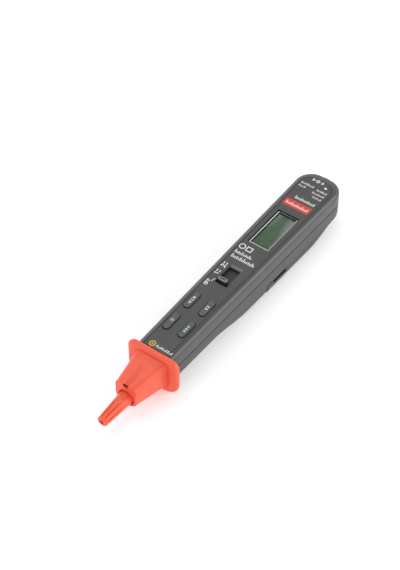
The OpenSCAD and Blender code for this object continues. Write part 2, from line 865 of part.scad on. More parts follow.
// Knob with its dished top on the deck that closes the slot
module mode_slider() {
    top = face_height + knob_proud;
    color([0.2, 0.2, 0.2]) difference() {
        union() {
            box([deck_start, -deck_half, deck_top - deck_thick], [deck_end, deck_half, deck_top]);
            translate([knob_x, 0, deck_top - eps]) linear_extrude(top - deck_top + eps)
                rounded([knob_length, knob_width], 0.5);
        }
        translate([knob_x, 0, top - 0.4]) linear_extrude(1)
            rounded([knob_length - 1, knob_width - 1.2], 0.3);
    }
}

// Three springy fingers under the deck
module slider_wiper() {
    low = board_top + 0.1 + running;
    high = deck_top - deck_thick;
    color("gold") {
        box([knob_x - 1.5, -2.2, high - strip], [knob_x + 1.5, 2.2, high]);
        for (y = [-1.6, 0, 1.6]) translate([0, y + 0.35, 0]) rotate([90, 0, 0])
            linear_extrude(0.7) polygon([[knob_x - 1.5, high], [knob_x - 1.2, high],
                [knob_x + 0.6, low + 0.3], [knob_x + 1.5, low + 0.6], [knob_x + 1.5, low + 0.3],
                [knob_x + 0.6, low], [knob_x - 1.5, high - 0.5]]);
    }
}

// Key cap with its lip under the face and a stem over the dome
module key(x, y) {
    low = board_top + dome_height + key_travel + running;
    top = face_height + key_proud;
    lip_top = face_under - slack;
    color(key_blue) translate([x, y, 0]) {
        translate([0, 0, lip_top - lip_thick]) linear_extrude(lip_thick)
            pill(key_length + 2 * lip, key_width + 2 * lip);
        translate([0, 0, lip_top - eps]) linear_extrude(top - 0.3 - lip_top + eps)
            pill(key_length, key_width);
        translate([0, 0, top - 0.3 - eps]) linear_extrude(0.3 + eps)
            pill(key_length - 0.5, key_width - 0.5);
        upright(0, 0, low, lip_top - lip_thick + eps, 1.3);
    }
}

module key_range() {
    key(key_rows[1], key_y);
}

module key_hold() {
    key(key_rows[1], -key_y);
}

module key_lamp() {
    key(key_rows[0], key_y);
}

module key_select() {
    key(key_rows[0], -key_y);
}

// Fluted sleeve in front, neck in the guard, and the drum with its helical slot
module tip_sleeve() {
    slope = atan((sleeve_base_r - sleeve_tip_r) / guard_start);
    flute_r = 1;
    color(red) difference() {
        union() {
            translate([0, 0, tip_height]) rotate([0, 90, 0]) rotate_extrude() polygon([
                [0, 0], [sleeve_tip_r - 0.7, 0], [sleeve_tip_r - 0.2, 0.25], [sleeve_tip_r, 0.8],
                [sleeve_base_r, guard_start + neck_step], [neck_r, guard_start + neck_step],
                [neck_r, drum_start + slack], [drum_r, drum_start + slack],
                [drum_r, drum_end], [0, drum_end]]);
        }
        for (i = [0 : flute_count - 1]) translate([0, 0, tip_height])
            rotate([360 * (i + 0.5) / flute_count, 0, 0]) translate([1.6, 0, sleeve_tip_r + 0.55])
                rotate([0, 90 - slope, 0]) cylinder(r = flute_r, h = guard_start - 3);
        rod_x(-1, 5, pin_r + 0.08);
        rod_x(4, drum_end + 1, pin_r + 0.6);
        rod_x(drum_start + 0.4, drum_end + 1, drum_bore);
        helix_slot();
    }
}

// Slot that pushes the peg forward as the drum turns
module helix_slot() {
    steps = 24;
    for (i = [0 : steps]) translate([peg_rest - pin_travel * i / steps, 0, tip_height])
        rotate([-sleeve_turn * i / steps, 0, 0]) cylinder(r = peg_r + 0.15, h = drum_r + 1);
}

module probe_pin() {
    point = 4;
    color("silver") {
        rod_x(1.2, 1.2 + point + eps, 0.15, r2 = pin_r);
        rod_x(1.2 + point, case_start + pin_travel + 8, pin_r);
    }
}

module pin_carrier() {
    color("dimgray") difference() {
        union() {
            rod_x(peg_rest - 2.5, peg_rest + 2.5, carrier_r);
            upright(peg_rest, 0, tip_height + pin_r + 0.5, tip_height + drum_r - 0.2, peg_r);
        }
        rod_x(peg_rest - 4, peg_rest + 4, pin_r);
    }
}

module placed() {
    translate([-centre_shift, 0, 0]) children();
}

placed() front_case();
placed() rear_case();
placed() battery_door();
placed() door_screw();
placed() case_screws();
placed() finger_guard();
placed() pin_guide();
placed() torch_led();
placed() window_lens();
placed() display_glass();
placed() display_holder();
placed() zebra_strips();
placed() main_board();
placed() processor();
placed() key_domes();
placed() switch_pads();
placed() buzzer();
placed() input_resistor();
placed() crystal();
placed() capacitors();
placed() socket_tube();
placed() socket_insulator();
placed() socket_tab();
placed() coin_cell();
placed() cell_contact_plus();
placed() cell_contact_minus();
placed() pin_contact();
placed() mode_slider();
placed() slider_wiper();
placed() key_range();
placed() key_hold();
placed() key_lamp();
placed() key_select();
placed() tip_sleeve();
placed() probe_pin();
placed() pin_carrier();
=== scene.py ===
"""Pen multimeter: moulded case, finger guard, twist sleeve, keys, slide switch, display and print."""
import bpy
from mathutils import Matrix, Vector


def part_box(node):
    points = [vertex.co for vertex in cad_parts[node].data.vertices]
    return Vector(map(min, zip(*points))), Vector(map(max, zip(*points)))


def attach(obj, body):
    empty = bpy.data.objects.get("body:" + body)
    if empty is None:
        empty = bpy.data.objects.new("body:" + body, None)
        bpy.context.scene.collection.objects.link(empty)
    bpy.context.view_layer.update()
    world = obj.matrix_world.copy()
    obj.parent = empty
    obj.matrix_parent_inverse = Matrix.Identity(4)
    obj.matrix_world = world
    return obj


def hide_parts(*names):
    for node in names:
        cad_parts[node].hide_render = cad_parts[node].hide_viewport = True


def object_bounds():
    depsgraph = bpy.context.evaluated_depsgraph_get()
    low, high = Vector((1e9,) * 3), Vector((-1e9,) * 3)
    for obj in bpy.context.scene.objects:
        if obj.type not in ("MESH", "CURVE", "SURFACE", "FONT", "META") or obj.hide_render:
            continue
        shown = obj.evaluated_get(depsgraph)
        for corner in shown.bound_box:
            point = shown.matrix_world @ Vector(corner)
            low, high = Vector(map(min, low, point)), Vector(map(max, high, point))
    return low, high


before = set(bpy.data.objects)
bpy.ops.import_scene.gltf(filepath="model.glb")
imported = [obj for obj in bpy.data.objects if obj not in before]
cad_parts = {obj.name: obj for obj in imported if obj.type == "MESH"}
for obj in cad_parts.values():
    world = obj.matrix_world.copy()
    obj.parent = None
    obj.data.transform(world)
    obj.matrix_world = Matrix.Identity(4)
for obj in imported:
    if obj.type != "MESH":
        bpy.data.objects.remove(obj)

from types import SimpleNamespace

import bmesh
import bpy
import numpy as np
from bpy.props import FloatProperty, FloatVectorProperty, IntProperty, PointerProperty
from mathutils import Vector
from mathutils.geometry import tessellate_polygon

bl_info = {
    "name": "Pen multimeter",
    "version": (1, 0, 0),
    "blender": (4, 5, 0),
    "location": "3D View > Sidebar > Pen meter",
    "description": "Builds the pieces, finishes and stage of a pen multimeter",
    "category": "Object",
}

# Millimetres in a metre
MM = 1000
# Play round the socket's ring, in millimetres
FIT = 0.05
TINY = 1e-6
# Edges above this angle stay sharp, in degrees
SHARP_ANGLE = 38
# Angles of the points round a turned piece
FULL_TURN = np.linspace(0, 2 * np.pi, 96, endpoint=False)
# Box of the solids, and half the pen's length in millimetres, for X counted from the tip
CAD_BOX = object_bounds()
HALF_LENGTH = (CAD_BOX[1][0] - CAD_BOX[0][0]) * MM / 2


def length(name, description, millimetres):
    """A length that the user can change, kept in metres."""
    return FloatProperty(
        name=name, description=description, default=millimetres / MM,
        unit="LENGTH", subtype="DISTANCE", precision=5)


def colour(name, description, value):
    """A linear colour that the user can change."""
    return FloatVectorProperty(
        name=name, description=description, default=value, size=3, min=0, max=1, subtype="COLOR")


def amount(name, description, value, subtype, **limits):
    """A number of another kind that the user can change, within limits."""
    return FloatProperty(name=name, description=description, default=value, subtype=subtype, **limits)


class PenCaseSizes(bpy.types.PropertyGroup):
    """Sizes of the two case halves."""
    start: length("Case start", "Where the case begins, from the tip", 41.6)
    end: length("Case end", "End of the case, from the tip", 190.7)
    width_front: length("Width at the guard", "Width of the case at the guard", 20.8)
    width_rear: length("Width at the socket", "Width of the case at the socket end", 25.4)
    corner: length("Corner radius", "Plan radius at the socket end", 9.8)
    seam: length("Seam height", "Height of the seam between the halves", 14.4)
    seam_depth: length("Seam depth", "Depth of the dark line between the halves", 0.6)
    face: length("Face height", "Height of the panel", 23.6)
    wall: length("Wall", "Thickness of the side walls", 1.8)
    face_wall: length("Face wall", "Thickness of the face plate", 2)
    chamfer: length("Chamfer width", "Width of the chamfer on the upper edge", 1.4)
    border_drop: length("Border drop", "Drop from the panel to the chamfer", 0.5)
    chamfer_drop: length("Chamfer drop", "Drop of the chamfer", 1.2)
    margin: length("Panel margin", "From the case edge to the panel groove", 3.1)
    end_margin: length("End margin", "The same at the socket end", 4.8)
    groove: length("Groove", "Width and depth of the panel groove", 0.3)
    belly: length("Belly", "Height of the underside where it swells", 0.35)
    belly_front: length("Belly at the guard", "Height of the underside at the guard", 4.6)
    belly_tail: length("Belly at the socket", "Height of the underside at the socket", 4.2)
    belly_radius: length("Belly radius", "Radius of the long lower edges", 4.2)
    swell_start: length("Swell start", "Where the underside starts to swell", 74)
    swell_full: length("Swell full", "Where the swell is full", 104)
    tail_start: length("Tail start", "Where the underside starts to rise", 158)
    tail_full: length("Tail full", "Where it has risen", 180)


class PenDoorSizes(bpy.types.PropertyGroup):
    """Sizes of the battery door."""
    start: length("Door start", "Start of the door", 119.6)
    end: length("Door end", "End of the door", 178)
    edge: length("Door edge", "Height of the door's edge on the side", 7)
    proud: length("Door step", "How far the door stands proud", 0.35)
    gap: length("Door gap", "Gap round the door", 0.15)
    notch_start: length("Notch start", "Start of the finger notch", 125)
    notch_length: length("Notch length", "Length of the finger notch", 11)
    notch_height: length("Notch height", "Height of the finger notch", 1.7)
    notch_back: length("Notch back", "From the inner skin to the notch's back wall", 0.5)
    slit: length("Slit height", "Height of the slit between the door's start and the notch", 0.45)
    slot_start: length("Slot start", "Start of the dark slot past the door's end", 177.6)
    slot_length: length("Slot length", "Length of that slot", 2.3)
    slot_low: length("Slot floor", "Height of that slot's floor", 6.95)
    slot_height: length("Slot height", "From its floor to its top", 1.25)
    screw_x: length("Screw place", "Where the door screw sits", 165.2)
    screw_well: length("Screw well", "Radius of the screw's well", 2)


class PenGuardSizes(bpy.types.PropertyGroup):
    """Sizes of the finger guard and the twist sleeve."""
    start: length("Guard start", "Front face of the guard", 18.5)
    flange: length("Flange front", "Front of the flange", 38.6)
    flange_width: length("Flange width", "Width of the flange", 30)
    flange_height: length("Flange height", "Height of the flange", 23.9)
    width: length("Nose rear width", "Width of the nose at the flange", 18.2)
    nose_width: length("Nose front width", "Width of the nose's front face", 12.9)
    axis: length("Axis height", "Height of the probe axis", 10.5)
    nose_height: length("Nose height", "Height of the nose's front face", 19.9)
    mouth: length("Mouth radius", "Radius of the ring round the sleeve", 4.6)
    trough: length("Trough radius", "Radius of the torch's trough", 2.1)
    trough_depth: length("Trough depth", "Depth of the trough at its mouth", 1)
    torch_width: length("Torch slot width", "Width of the slot for the torch", 3.3)
    torch_height: length("Torch slot height", "Height of that slot", 1.4)
    sleeve_tip: length("Sleeve tip radius", "Radius of the sleeve at its tip", 2.8)
    sleeve_base: length("Sleeve base radius", "Radius of the sleeve in the guard", 3.9)
    pin: length("Pin radius", "Radius of the steel pin", 1)
    flute_depth: length("Flute depth", "Depth of the sleeve's flutes", 0.6)
    flutes: IntProperty(name="Flutes", description="Flutes round the sleeve", default=8, min=4, max=12)


class PenControlSizes(bpy.types.PropertyGroup):
    """Sizes of the keys, the slide switch and the window."""
    key_length: length("Key length", "Length of a key cap", 11.6)
    key_width: length("Key width", "Width of a key cap", 3.6)
    key_proud: length("Key height", "Height of a key above the face", 0.6)
    key_y: length("Key column", "From the middle to a column of keys", 4.6)
    key_front: length("Front row", "Centre of the row next to the guard", 60.4)
    key_rear: length("Rear row", "Centre of the other row", 77.2)
    slot_start: length("Slot start", "Tip end of the switch slot", 94.6)
    slot_length: length("Slot length", "Length of the switch slot", 12.4)
    slot_width: length("Slot width", "Width of the switch slot", 6.2)
    knob_length: length("Knob length", "Length of the knob along the pen", 2.2)
    knob_width: length("Knob width", "Width of the knob", 4.9)
    knob_proud: length("Knob height", "Height of the knob above the face", 1.7)
    window_x: length("Window place", "Centre of the window", 141)
    window_length: length("Window length", "Length of the clear pane", 26.8)
    window_width: length("Window width", "Width of the clear pane", 11.5)
    window_bevel: length("Window bevel", "Width of the rounded edge round it", 0.3)
    pane_gap: length("Pane gap", "Gap between the pane and the opening", 0.6)
    pane_drop: length("Pane drop", "How far the pane stands back from the face", 0.6)


class PenSocketSizes(bpy.types.PropertyGroup):
    """Sizes of the socket."""
    bore: length("Bore radius", "Radius of the plug bore", 2)
    depth: length("Bore depth", "Depth of the plug bore", 17)
    recess: length("Recess", "How far the tube stands back from the end", 2.8)
    tube: length("Tube radius", "Outer radius of the brass tube", 2.6)
    shroud: length("Shroud radius", "Inner radius of the insulator", 3.6)
    insulator: length("Insulator radius", "Outer radius of the insulator", 4.4)
    collar: length("Ring radius", "Outer radius of the ring on the case", 7.4)
    collar_proud: length("Ring height", "How far the ring stands out from the case", 0.3)


class PenColours(bpy.types.PropertyGroup):
    """Colours of the finishes, linear."""
    case: colour("Case", "Grey of the case", (0.052, 0.052, 0.049))
    guard: colour("Guard", "Red of the guard and sleeve", (0.76, 0.088, 0.036))
    key: colour("Key", "Blue-grey of the key caps", (0.062, 0.080, 0.090))
    display: colour("Display", "Green of the display", (0.088, 0.155, 0.080))
    badge: colour("Badge", "Red of the printed field", (0.56, 0.038, 0.018))
    paint: colour("Paint", "White of the print", (0.74, 0.74, 0.73))
    board: colour("Board", "Green of the circuit board", (0.012, 0.10, 0.045))


class PenStageSettings(bpy.types.PropertyGroup):
    """Camera and light."""
    focal: amount("Focal length", "On a 36 mm high image", 93.75, "DISTANCE_CAMERA", min=20, max=300)
    key_power: amount("Side light", "Power of the low side lamp", 3.6, "POWER", min=0)
    top_power: amount("Top light", "Power of the high lamp", 4.5, "POWER", min=0)
    horizon: amount(
        "Low surroundings", "Strength of the white round the table", 1.75, "FACTOR", min=0, max=4)
    overhead: amount(
        "High surroundings", "Strength of the surroundings overhead", 0.32, "FACTOR", min=0, max=4)
    floor: colour("Floor", "Colour of the floor", (0.80, 0.80, 0.81))


# Property groups by the name they have on the scene, first those of lengths
GROUPS = {
    "case": PenCaseSizes,
    "door": PenDoorSizes,
    "guard": PenGuardSizes,
    "control": PenControlSizes,
    "socket": PenSocketSizes,
}
SETTINGS = {**GROUPS, "colours": PenColours, "stage": PenStageSettings}

# Places of the finishes in the list of each piece that has several
PLAIN = 0
# Black paints shade in seams, grooves, walls and pockets; the slope finishes paint highlights on the slot's
# slope
PAINTED_SHADE, SLOPE_LIGHT, SLOPE_SIDE_LIGHT = 1, 2, 3
# The crease finish is painted shade, as is the torch's
TORCH_SHADE, CREASE_SHADE = 1, 2
SKIRT = 1
# The knob's rim finish is a painted highlight
KNOB_RIM_HIGHLIGHT, KNOB_DISH = 1, 2
# The lens edge finishes are painted highlights
LENS_EDGE_GLINT, LENS_FLANGE, LENS_SIDE_GLINT, LENS_TIP_GLINT = 1, 2, 3, 4
DISPLAY_RIM = 1


def sizes(context):
    """All sizes in millimetres, one plain group of numbers for each property group."""
    groups = {}
    for label, kind in GROUPS.items():
        settings = getattr(context.scene, "pen_" + label)
        values = {key: getattr(settings, key) for key in kind.__annotations__}
        groups[label] = SimpleNamespace(**{
            key: value if isinstance(value, int) else value * MM for key, value in values.items()})
    return SimpleNamespace(**groups)


class Shape:
    """Points and faces of one piece, in millimetres, with X counted from the tip."""

    def __init__(self):
        self.points = []
        self.faces = []
        self.finishes = []
        self.count = 0

    def add(self, points, faces, finish=0):
        """Takes points and faces that count from them."""
        points = np.asarray(points, float).reshape(-1, 3)
        self.points.append(points)
        self.faces += [[i + self.count for i in face] for face in faces]
        self.finishes += np.broadcast_to(finish, len(faces)).tolist()
        self.count += len(points)

    def skin(self, rings, wrap=True, loop=False, finish=0, pick=None):
        """Quads between rings of equal count: point j of ring i joins j + 1 and ring i + 1.

        A pick function gives each quad's finish from its centre."""
        rings = np.asarray(rings, float)
        rows, count = rings.shape[:2]
        index = np.arange(rows * count).reshape(rows, count)
        if wrap:
            index = np.concatenate([index, index[:, :1]], axis=1)
        if loop:
            index = np.concatenate([index, index[:1]], axis=0)
        quads = np.stack([index[:-1, :-1], index[:-1, 1:], index[1:, 1:], index[1:, :-1]], axis=-1)
        quads = quads.reshape(-1, 4)
        if pick is not None:
            finish = pick(rings.reshape(-1, 3)[quads].mean(axis=1))
        self.add(rings, quads.tolist(), finish)

    def polygon(self, outline, finish=0):
        """One flat face."""
        self.add(outline, [list(range(len(outline)))], finish)

    def plate(self, outline, holes, height, finish=0):
        """Flat plate at a height inside an outline and round the holes, cut into triangles."""
        loops = [np.asarray(loop)[:, :2] for loop in [outline] + list(holes)]
        flat = [[Vector((p[0], p[1], 0)) for p in loop.tolist()] for loop in loops]
        points = at_height(np.concatenate(loops), height)
        self.add(points, [list(face) for face in tessellate_polygon(flat)], finish)

    def prism(self, outline, low, high, finish=0):
        """Closed straight prism over a flat outline."""
        outline = np.asarray(outline)[:, :2]
        self.skin([at_height(outline, low), at_height(outline, high)], finish=finish)
        self.plate(outline, [], low, finish)
        self.plate(outline, [], high, finish)

    def bar(self, rings, finish=0):
        """Closed bar: a skin between rings of equal count, with a flat face at either end."""
        self.skin(rings, finish=finish)
        self.polygon(rings[0], finish)
        self.polygon(rings[-1], finish)


def finish_mesh(piece, angle):
    """Joins equal points, turns every face outward and keeps edges above an angle sharp."""
    work = bmesh.new()
    work.from_mesh(piece.data)
    bmesh.ops.remove_doubles(work, verts=work.verts, dist=2e-6)
    bmesh.ops.recalc_face_normals(work, faces=work.faces)
    work.to_mesh(piece.data)
    work.free()
    smooth_faces(piece, angle)


def smooth_faces(piece, angle):
    """Shades a piece smooth between the edges above an angle."""
    piece.data.shade_smooth()
    piece.data.set_sharp_from_angle(angle=np.radians(angle))


def make_piece(name, shape, finishes, stands_for=(), body="case", angle=SHARP_ANGLE, cutter=None):
    """Puts a shape into a new object, carves it and lets it ride on a body."""
    piece = loose_object(name, shape, angle)
    for finish in finishes:
        piece.data.materials.append(FINISHES[finish])
    if cutter is not None:
        carve(piece, cutter, angle)
    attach(piece, body)
    if stands_for:
        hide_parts(*stands_for)
    return piece


def loose_object(name, shape, angle=SHARP_ANGLE):
    """New object with a shape's mesh, in metres and centred as the pen is."""
    points = (np.concatenate(shape.points) - [HALF_LENGTH, 0, 0]) / MM
    mesh = bpy.data.meshes.new(name)
    mesh.from_pydata(points.tolist(), [], shape.faces)
    mesh.polygons.foreach_set("material_index", np.array(shape.finishes, dtype=np.int32))
    mesh.update()
    piece = bpy.data.objects.new(name, mesh)
    bpy.context.scene.collection.objects.link(piece)
    finish_mesh(piece, angle)
    return piece


def carve(piece, shape, angle):
    """Takes a closed shape out of a piece. The cut takes the shape's own finish numbers."""
    tool = loose_object("cutter", shape)
    mesh = tool.data
    step = piece.modifiers.new("cut", "BOOLEAN")
    step.material_mode = "INDEX"
    step.object = tool
    step.solver = "EXACT"
    bpy.context.view_layer.update()
    seen = piece.evaluated_get(bpy.context.evaluated_depsgraph_get())
    result = bpy.data.meshes.new_from_object(seen)
    piece.modifiers.clear()
    old = piece.data
    piece.data = result
    result.name = piece.name
    bpy.data.objects.remove(tool)
    bpy.data.meshes.remove(mesh)
    bpy.data.meshes.remove(old)
    finish_mesh(piece, angle)


def soften(profile, cuts):
    """Polyline whose corners become parabolic arcs: (1-t)^2 A + 2t(1-t) V + t^2 B.

    A and B lie a cut's length before and after the corner V. Each arc has five points."""
    profile = np.asarray(profile, float)
    t = np.linspace(0, 1, 5)[:, None]
    out = [profile[:1]]
    for before, corner, after, cut in zip(profile[:-2], profile[1:-1], profile[2:], cuts):
        if cut <= 0:
            out.append(corner[None])
            continue
        a = corner + (before - corner) / np.linalg.norm(before - corner) * cut
        b = corner + (after - corner) / np.linalg.norm(after - corner) * cut
        out.append((1 - t) ** 2 * a + 2 * t * (1 - t) * corner + t ** 2 * b)
    out.append(profile[-1:])
    return np.concatenate(out)


def circle(radius, count, x, y):
    """Flat circle round (x, y)."""
    a = np.linspace(0, 2 * np.pi, count, endpoint=False)
    return np.column_stack([x + radius * np.cos(a), y + radius * np.sin(a)])


def pill(size, x, y, steps=20):
    """Outline with two round ends along X: half circles of half the width."""
    r = size[1] / 2
    run = max(size[0] / 2 - r, 0)
    a = np.linspace(-np.pi / 2, np.pi / 2, steps + 1)
    right = np.column_stack([run + r * np.cos(a), r * np.sin(a)])
    return np.concatenate([right, -right]) + [x, y]


def rounded_box(low, high, radius, steps=6):
    """Rectangle from its low to its high corner with quarter circles at its corners."""
    low = np.asarray(low, float)
    high = np.asarray(high, float)
    a = np.linspace(0, np.pi / 2, steps + 1)
    out = []
    for k, (sx, sy) in enumerate(((1, 1), (-1, 1), (-1, -1), (1, -1))):
        centre = [high[0] - radius if sx > 0 else low[0] + radius,
                  high[1] - radius if sy > 0 else low[1] + radius]
        turn = a + k * np.pi / 2
        out.append(np.column_stack([np.cos(turn), np.sin(turn)]) * radius + centre)
    return np.concatenate(out)


def at_height(outline, z):
    """Flat outline lifted to a height."""
    return np.column_stack([outline, np.full(len(outline), z)])


def box_ring(x, y, radius, z):
    """Rounded rectangle between two x and two y, at a height."""
    return at_height(rounded_box([x[0], y[0]], [x[1], y[1]], radius), z)


def revolve(profile, axis_z, angles=FULL_TURN):
    """Rings round an axis along X, one for each (x, r) of the profile: (x, r sin a, axis + r cos a)."""
    profile = np.asarray(profile, float)
    x = np.repeat(profile[:, :1], len(angles), axis=1)
    return np.stack([x, profile[:, 1:] * np.sin(angles), axis_z + profile[:, 1:] * np.cos(angles)], -1)


def smooth_step(t):
    """3t^2 - 2t^3 between 0 and 1."""
    t = np.clip(t, 0, 1)
    return t * t * (3 - 2 * t)


def case_ring(c, inset, end_inset, z):
    """Outline of the case from above, open at the guard: tapering side, quarter circle, flat end."""
    r = c.corner - inset
    end = c.end - c.corner - end_inset
    side = c.width_rear / 2 - c.corner
    a = np.linspace(np.pi / 2, 0, 17)
    t = np.linspace(0, 1, 48, endpoint=False)
    x = np.concatenate([c.start + (end - c.start) * t, end + r * np.cos(a)])
    y = np.concatenate([(c.width_front / 2 - inset) * (1 - t) + (side + r) * t, side + r * np.sin(a)])
    half = np.column_stack([x, y])
    return at_height(np.concatenate([half, half[::-1] * [1, -1]]), z)


def slot_rings(s):
    """Rim, slope and walls of the switch slot, from the panel down.

    A step grows the slot at its front, near side, far side and back, with a radius and a height."""
    k = s.control
    half = k.slot_width / 2
    end = k.slot_start + k.slot_length
    steps = [
        (0.5, 1.2, 0.3, 2.1, 0.75, 0), (0.4, 1.1, 0.2, 2.0, 0.7, 0), (0.36, 1.04, 0.16, 1.9, 0.66, -0.06),
        (0.04, 0.12, 0.03, 0.6, 0.32, -0.84), (0, 0, 0, 0, 0.3, -0.95), (0, 0, 0, 0, 0.3, -1.2),
        (0, 0, 0, 0, 0.3, -s.case.face_wall)]
    return [box_ring((k.slot_start - front, end + back), (-half - near, half + far), radius, s.case.face + z)
            for front, near, far, back, radius, z in steps]


def window_ring(k, grow_x, grow_y, radius, z):
    """Outline of the window pane grown by two amounts, at a height."""
    half_x = k.window_length / 2 + grow_x
    half_y = k.window_width / 2 + grow_y
    return box_ring((k.window_x - half_x, k.window_x + half_x), (-half_y, half_y), radius, z)


def window_rings(s):
    """Rim, slope and walls of the window, and the pocket for the lens under it."""
    k = s.control
    gap = k.pane_gap
    bevel = gap + k.window_bevel
    ledge = -1
    steps = [(bevel + 0.1, 1.0, 0), (bevel, 0.95, 0), (gap + 0.12, 0.85, -0.06), (gap + 0.03, 0.75, -0.2),
             (gap, 0.7, -k.pane_drop / 2), (gap, 0.7, ledge)]
    rings = [window_ring(k, grow, grow, radius, s.case.face + z) for grow, radius, z in steps]
    return rings + [window_ring(k, 2.2, 2.0, 0.5, s.case.face + z) for z in (ledge, -s.case.face_wall)]


def key_places(s):
    """Name, x, y and body of each key."""
    k = s.control
    return [("key_range", k.key_rear, k.key_y, "range_button"),
            ("key_hold", k.key_rear, -k.key_y, "hold_button"),
            ("key_lamp", k.key_front, k.key_y, "lamp_button"),
            ("key_select", k.key_front, -k.key_y, "select_button")]


def key_ring(k, grow, x, y, z):
    """Outline of a key cap grown by an amount, at a height."""
    return at_height(pill((k.key_length + 2 * grow, k.key_width + 2 * grow), x, y), z)


def key_hole_rings(s, x, y):
    """Opening for a key, with a small round rim."""
    steps = ((0.42, 0), (0.34, 0), (0.26, -0.03), (0.2, -0.12), (0.2, -s.case.face_wall))
    return [key_ring(s.control, grow, x, y, s.case.face + z) for grow, z in steps]


def front_case_shape(s):
    """Upper case: a profile of insets and heights carried round the case's outline.

    The panel and its underside are flat plates with the openings cut out, and each opening's
    rings join the two. The seam is painted black as painted shade, and so are the panel groove
    on the +Y side and at the socket end, the slot's walls and the window's walls and pocket. The
    slot's slope is painted lighter at the socket end and on the -Y side as painted highlight, and
    black on the +Y side as painted shade."""
    c = s.case
    shift = c.end_margin - c.margin
    ledge = c.face - c.border_drop
    edge = ledge - c.chamfer_drop
    under = c.face - c.face_wall
    floor = c.face - c.groove
    profile = soften([
        [c.wall, 0, under], [c.wall, 0, c.seam], [c.seam_depth, 0, c.seam],
        [c.seam_depth, 0, c.seam + 0.32], [0.04, 0, c.seam + 0.34], [0.0, 0, c.seam + 0.4],
        [0.17, 0, edge - 0.4], [0.5, 0, edge - 0.36], [0.5, 0, edge - 0.12], [0.17, 0, edge - 0.06],
        [0.2, 0, edge + 0.02], [c.chamfer, 0, ledge], [c.margin - c.groove, shift, c.face],
        [c.margin, shift, c.face], [c.margin + 0.04, shift, floor],
        [c.margin + c.groove - 0.04, shift, floor], [c.margin + c.groove, shift, c.face],
        [c.margin + c.groove + 0.12, shift, c.face]],
        [0.3, 0, 0, 0, 0, 0.06, 0.06, 0.06, 0.04, 0.03, 0.14, 0.16, 0.12, 0.07, 0.05, 0.05])
    rings = [case_ring(c, *row) for row in profile]
    # Rings that bound the seam and the groove, counted along the softened profile
    seam_first, seam_last = 6, 8
    groove_first, groove_last = 47, 62
    groove_turn = c.end - 9
    slot_side = s.control.slot_width / 2
    slot_end = s.control.slot_start + s.control.slot_length

    # The panel groove is painted black as painted shade on the +Y side and at the socket end
    def groove_painted_shade(at):
        return np.where((at[:, 1] > 0) | (at[:, 0] > groove_turn), PAINTED_SHADE, PLAIN)

    # Slot slope: lighter at the socket end and on the -Y side as painted highlight, black on the +Y side as
    # painted shade
    def slope_painted_light(at):
        return np.select([at[:, 0] > slot_end, at[:, 1] < -slot_side, at[:, 1] > slot_side],
                         [SLOPE_LIGHT, SLOPE_SIDE_LIGHT, PAINTED_SHADE], PLAIN)
    shape = Shape()
    shape.skin(rings[:seam_first + 1], wrap=False)
    # The seam's groove is painted black as painted shade
    shape.skin(rings[seam_first:seam_last + 1], wrap=False, finish=PAINTED_SHADE)
    shape.skin(rings[seam_last:groove_first + 1], wrap=False)
    shape.skin(rings[groove_first:groove_last + 1], wrap=False, pick=groove_painted_shade)
    shape.skin(rings[groove_last:], wrap=False)
    keys = [key_hole_rings(s, x, y) for _, x, y, _ in key_places(s)]
    slot = slot_rings(s)
    window = window_rings(s)
    for opening in keys:
        shape.skin(opening)
    shape.skin(slot[:3])
    shape.skin(slot[2:4], pick=slope_painted_light)
    # The slot's walls are painted black as painted shade
    shape.skin(slot[3:], finish=PAINTED_SHADE)
    shape.skin(window[:3])
    # The window's walls and pocket are painted black as painted shade
    shape.skin(window[2:], finish=PAINTED_SHADE)
    openings = keys + [slot, window]
    shape.plate(rings[-1], [opening[0] for opening in openings], c.face)
    shape.plate(rings[0], [opening[-1] for opening in openings], under)
    shape.polygon(np.array([ring[0] for ring in rings] + [ring[-1] for ring in rings[::-1]]))
    return shape


def belly_low(c, x):
    """Height of the underside: low in the middle, eased up towards both ends."""
    swell = smooth_step((x - c.swell_start) / (c.swell_full - c.swell_start))
    tail = smooth_step((x - c.tail_start) / (c.tail_full - c.tail_start))
    return c.belly + (c.belly_front - c.belly) * (1 - swell) + (c.belly_tail - c.belly) * tail


def belly_rows(c, grow, marks, start=-np.inf, stop=np.inf):
    """Places along the case with half width, underside height and edge radius at each.

    The skin lies the growth outside the case's own. The marks are places that get a row."""
    corner_x = c.end - c.corner
    along = np.unique(np.concatenate([np.linspace(c.start, corner_x, 110), np.array(marks, float)]))
    half = c.width_front / 2 + (c.width_rear - c.width_front) / 2 * (along - c.start) / (corner_x - c.start)
    low = belly_low(c, along)
    radius = np.full(len(along), c.belly_radius)
    a = np.linspace(0, np.pi / 2, 19)[1:]
    side = c.width_rear / 2 - c.corner
    flat = 0.45
    along = np.concatenate([along, corner_x + (c.corner + grow) * np.sin(a)])
    half = np.concatenate([half + grow, side + (c.corner + grow) * np.cos(a)])
    low = np.concatenate([low - grow, c.belly_tail - grow + c.belly_radius * (1 - np.cos(a))])
    radius = np.concatenate([radius + grow, np.minimum(c.belly_radius + grow, half[len(radius):] - flat)])
    keep = (along >= start - TINY) & (along <= stop + TINY)
    return along[keep], half[keep], low[keep], radius[keep]


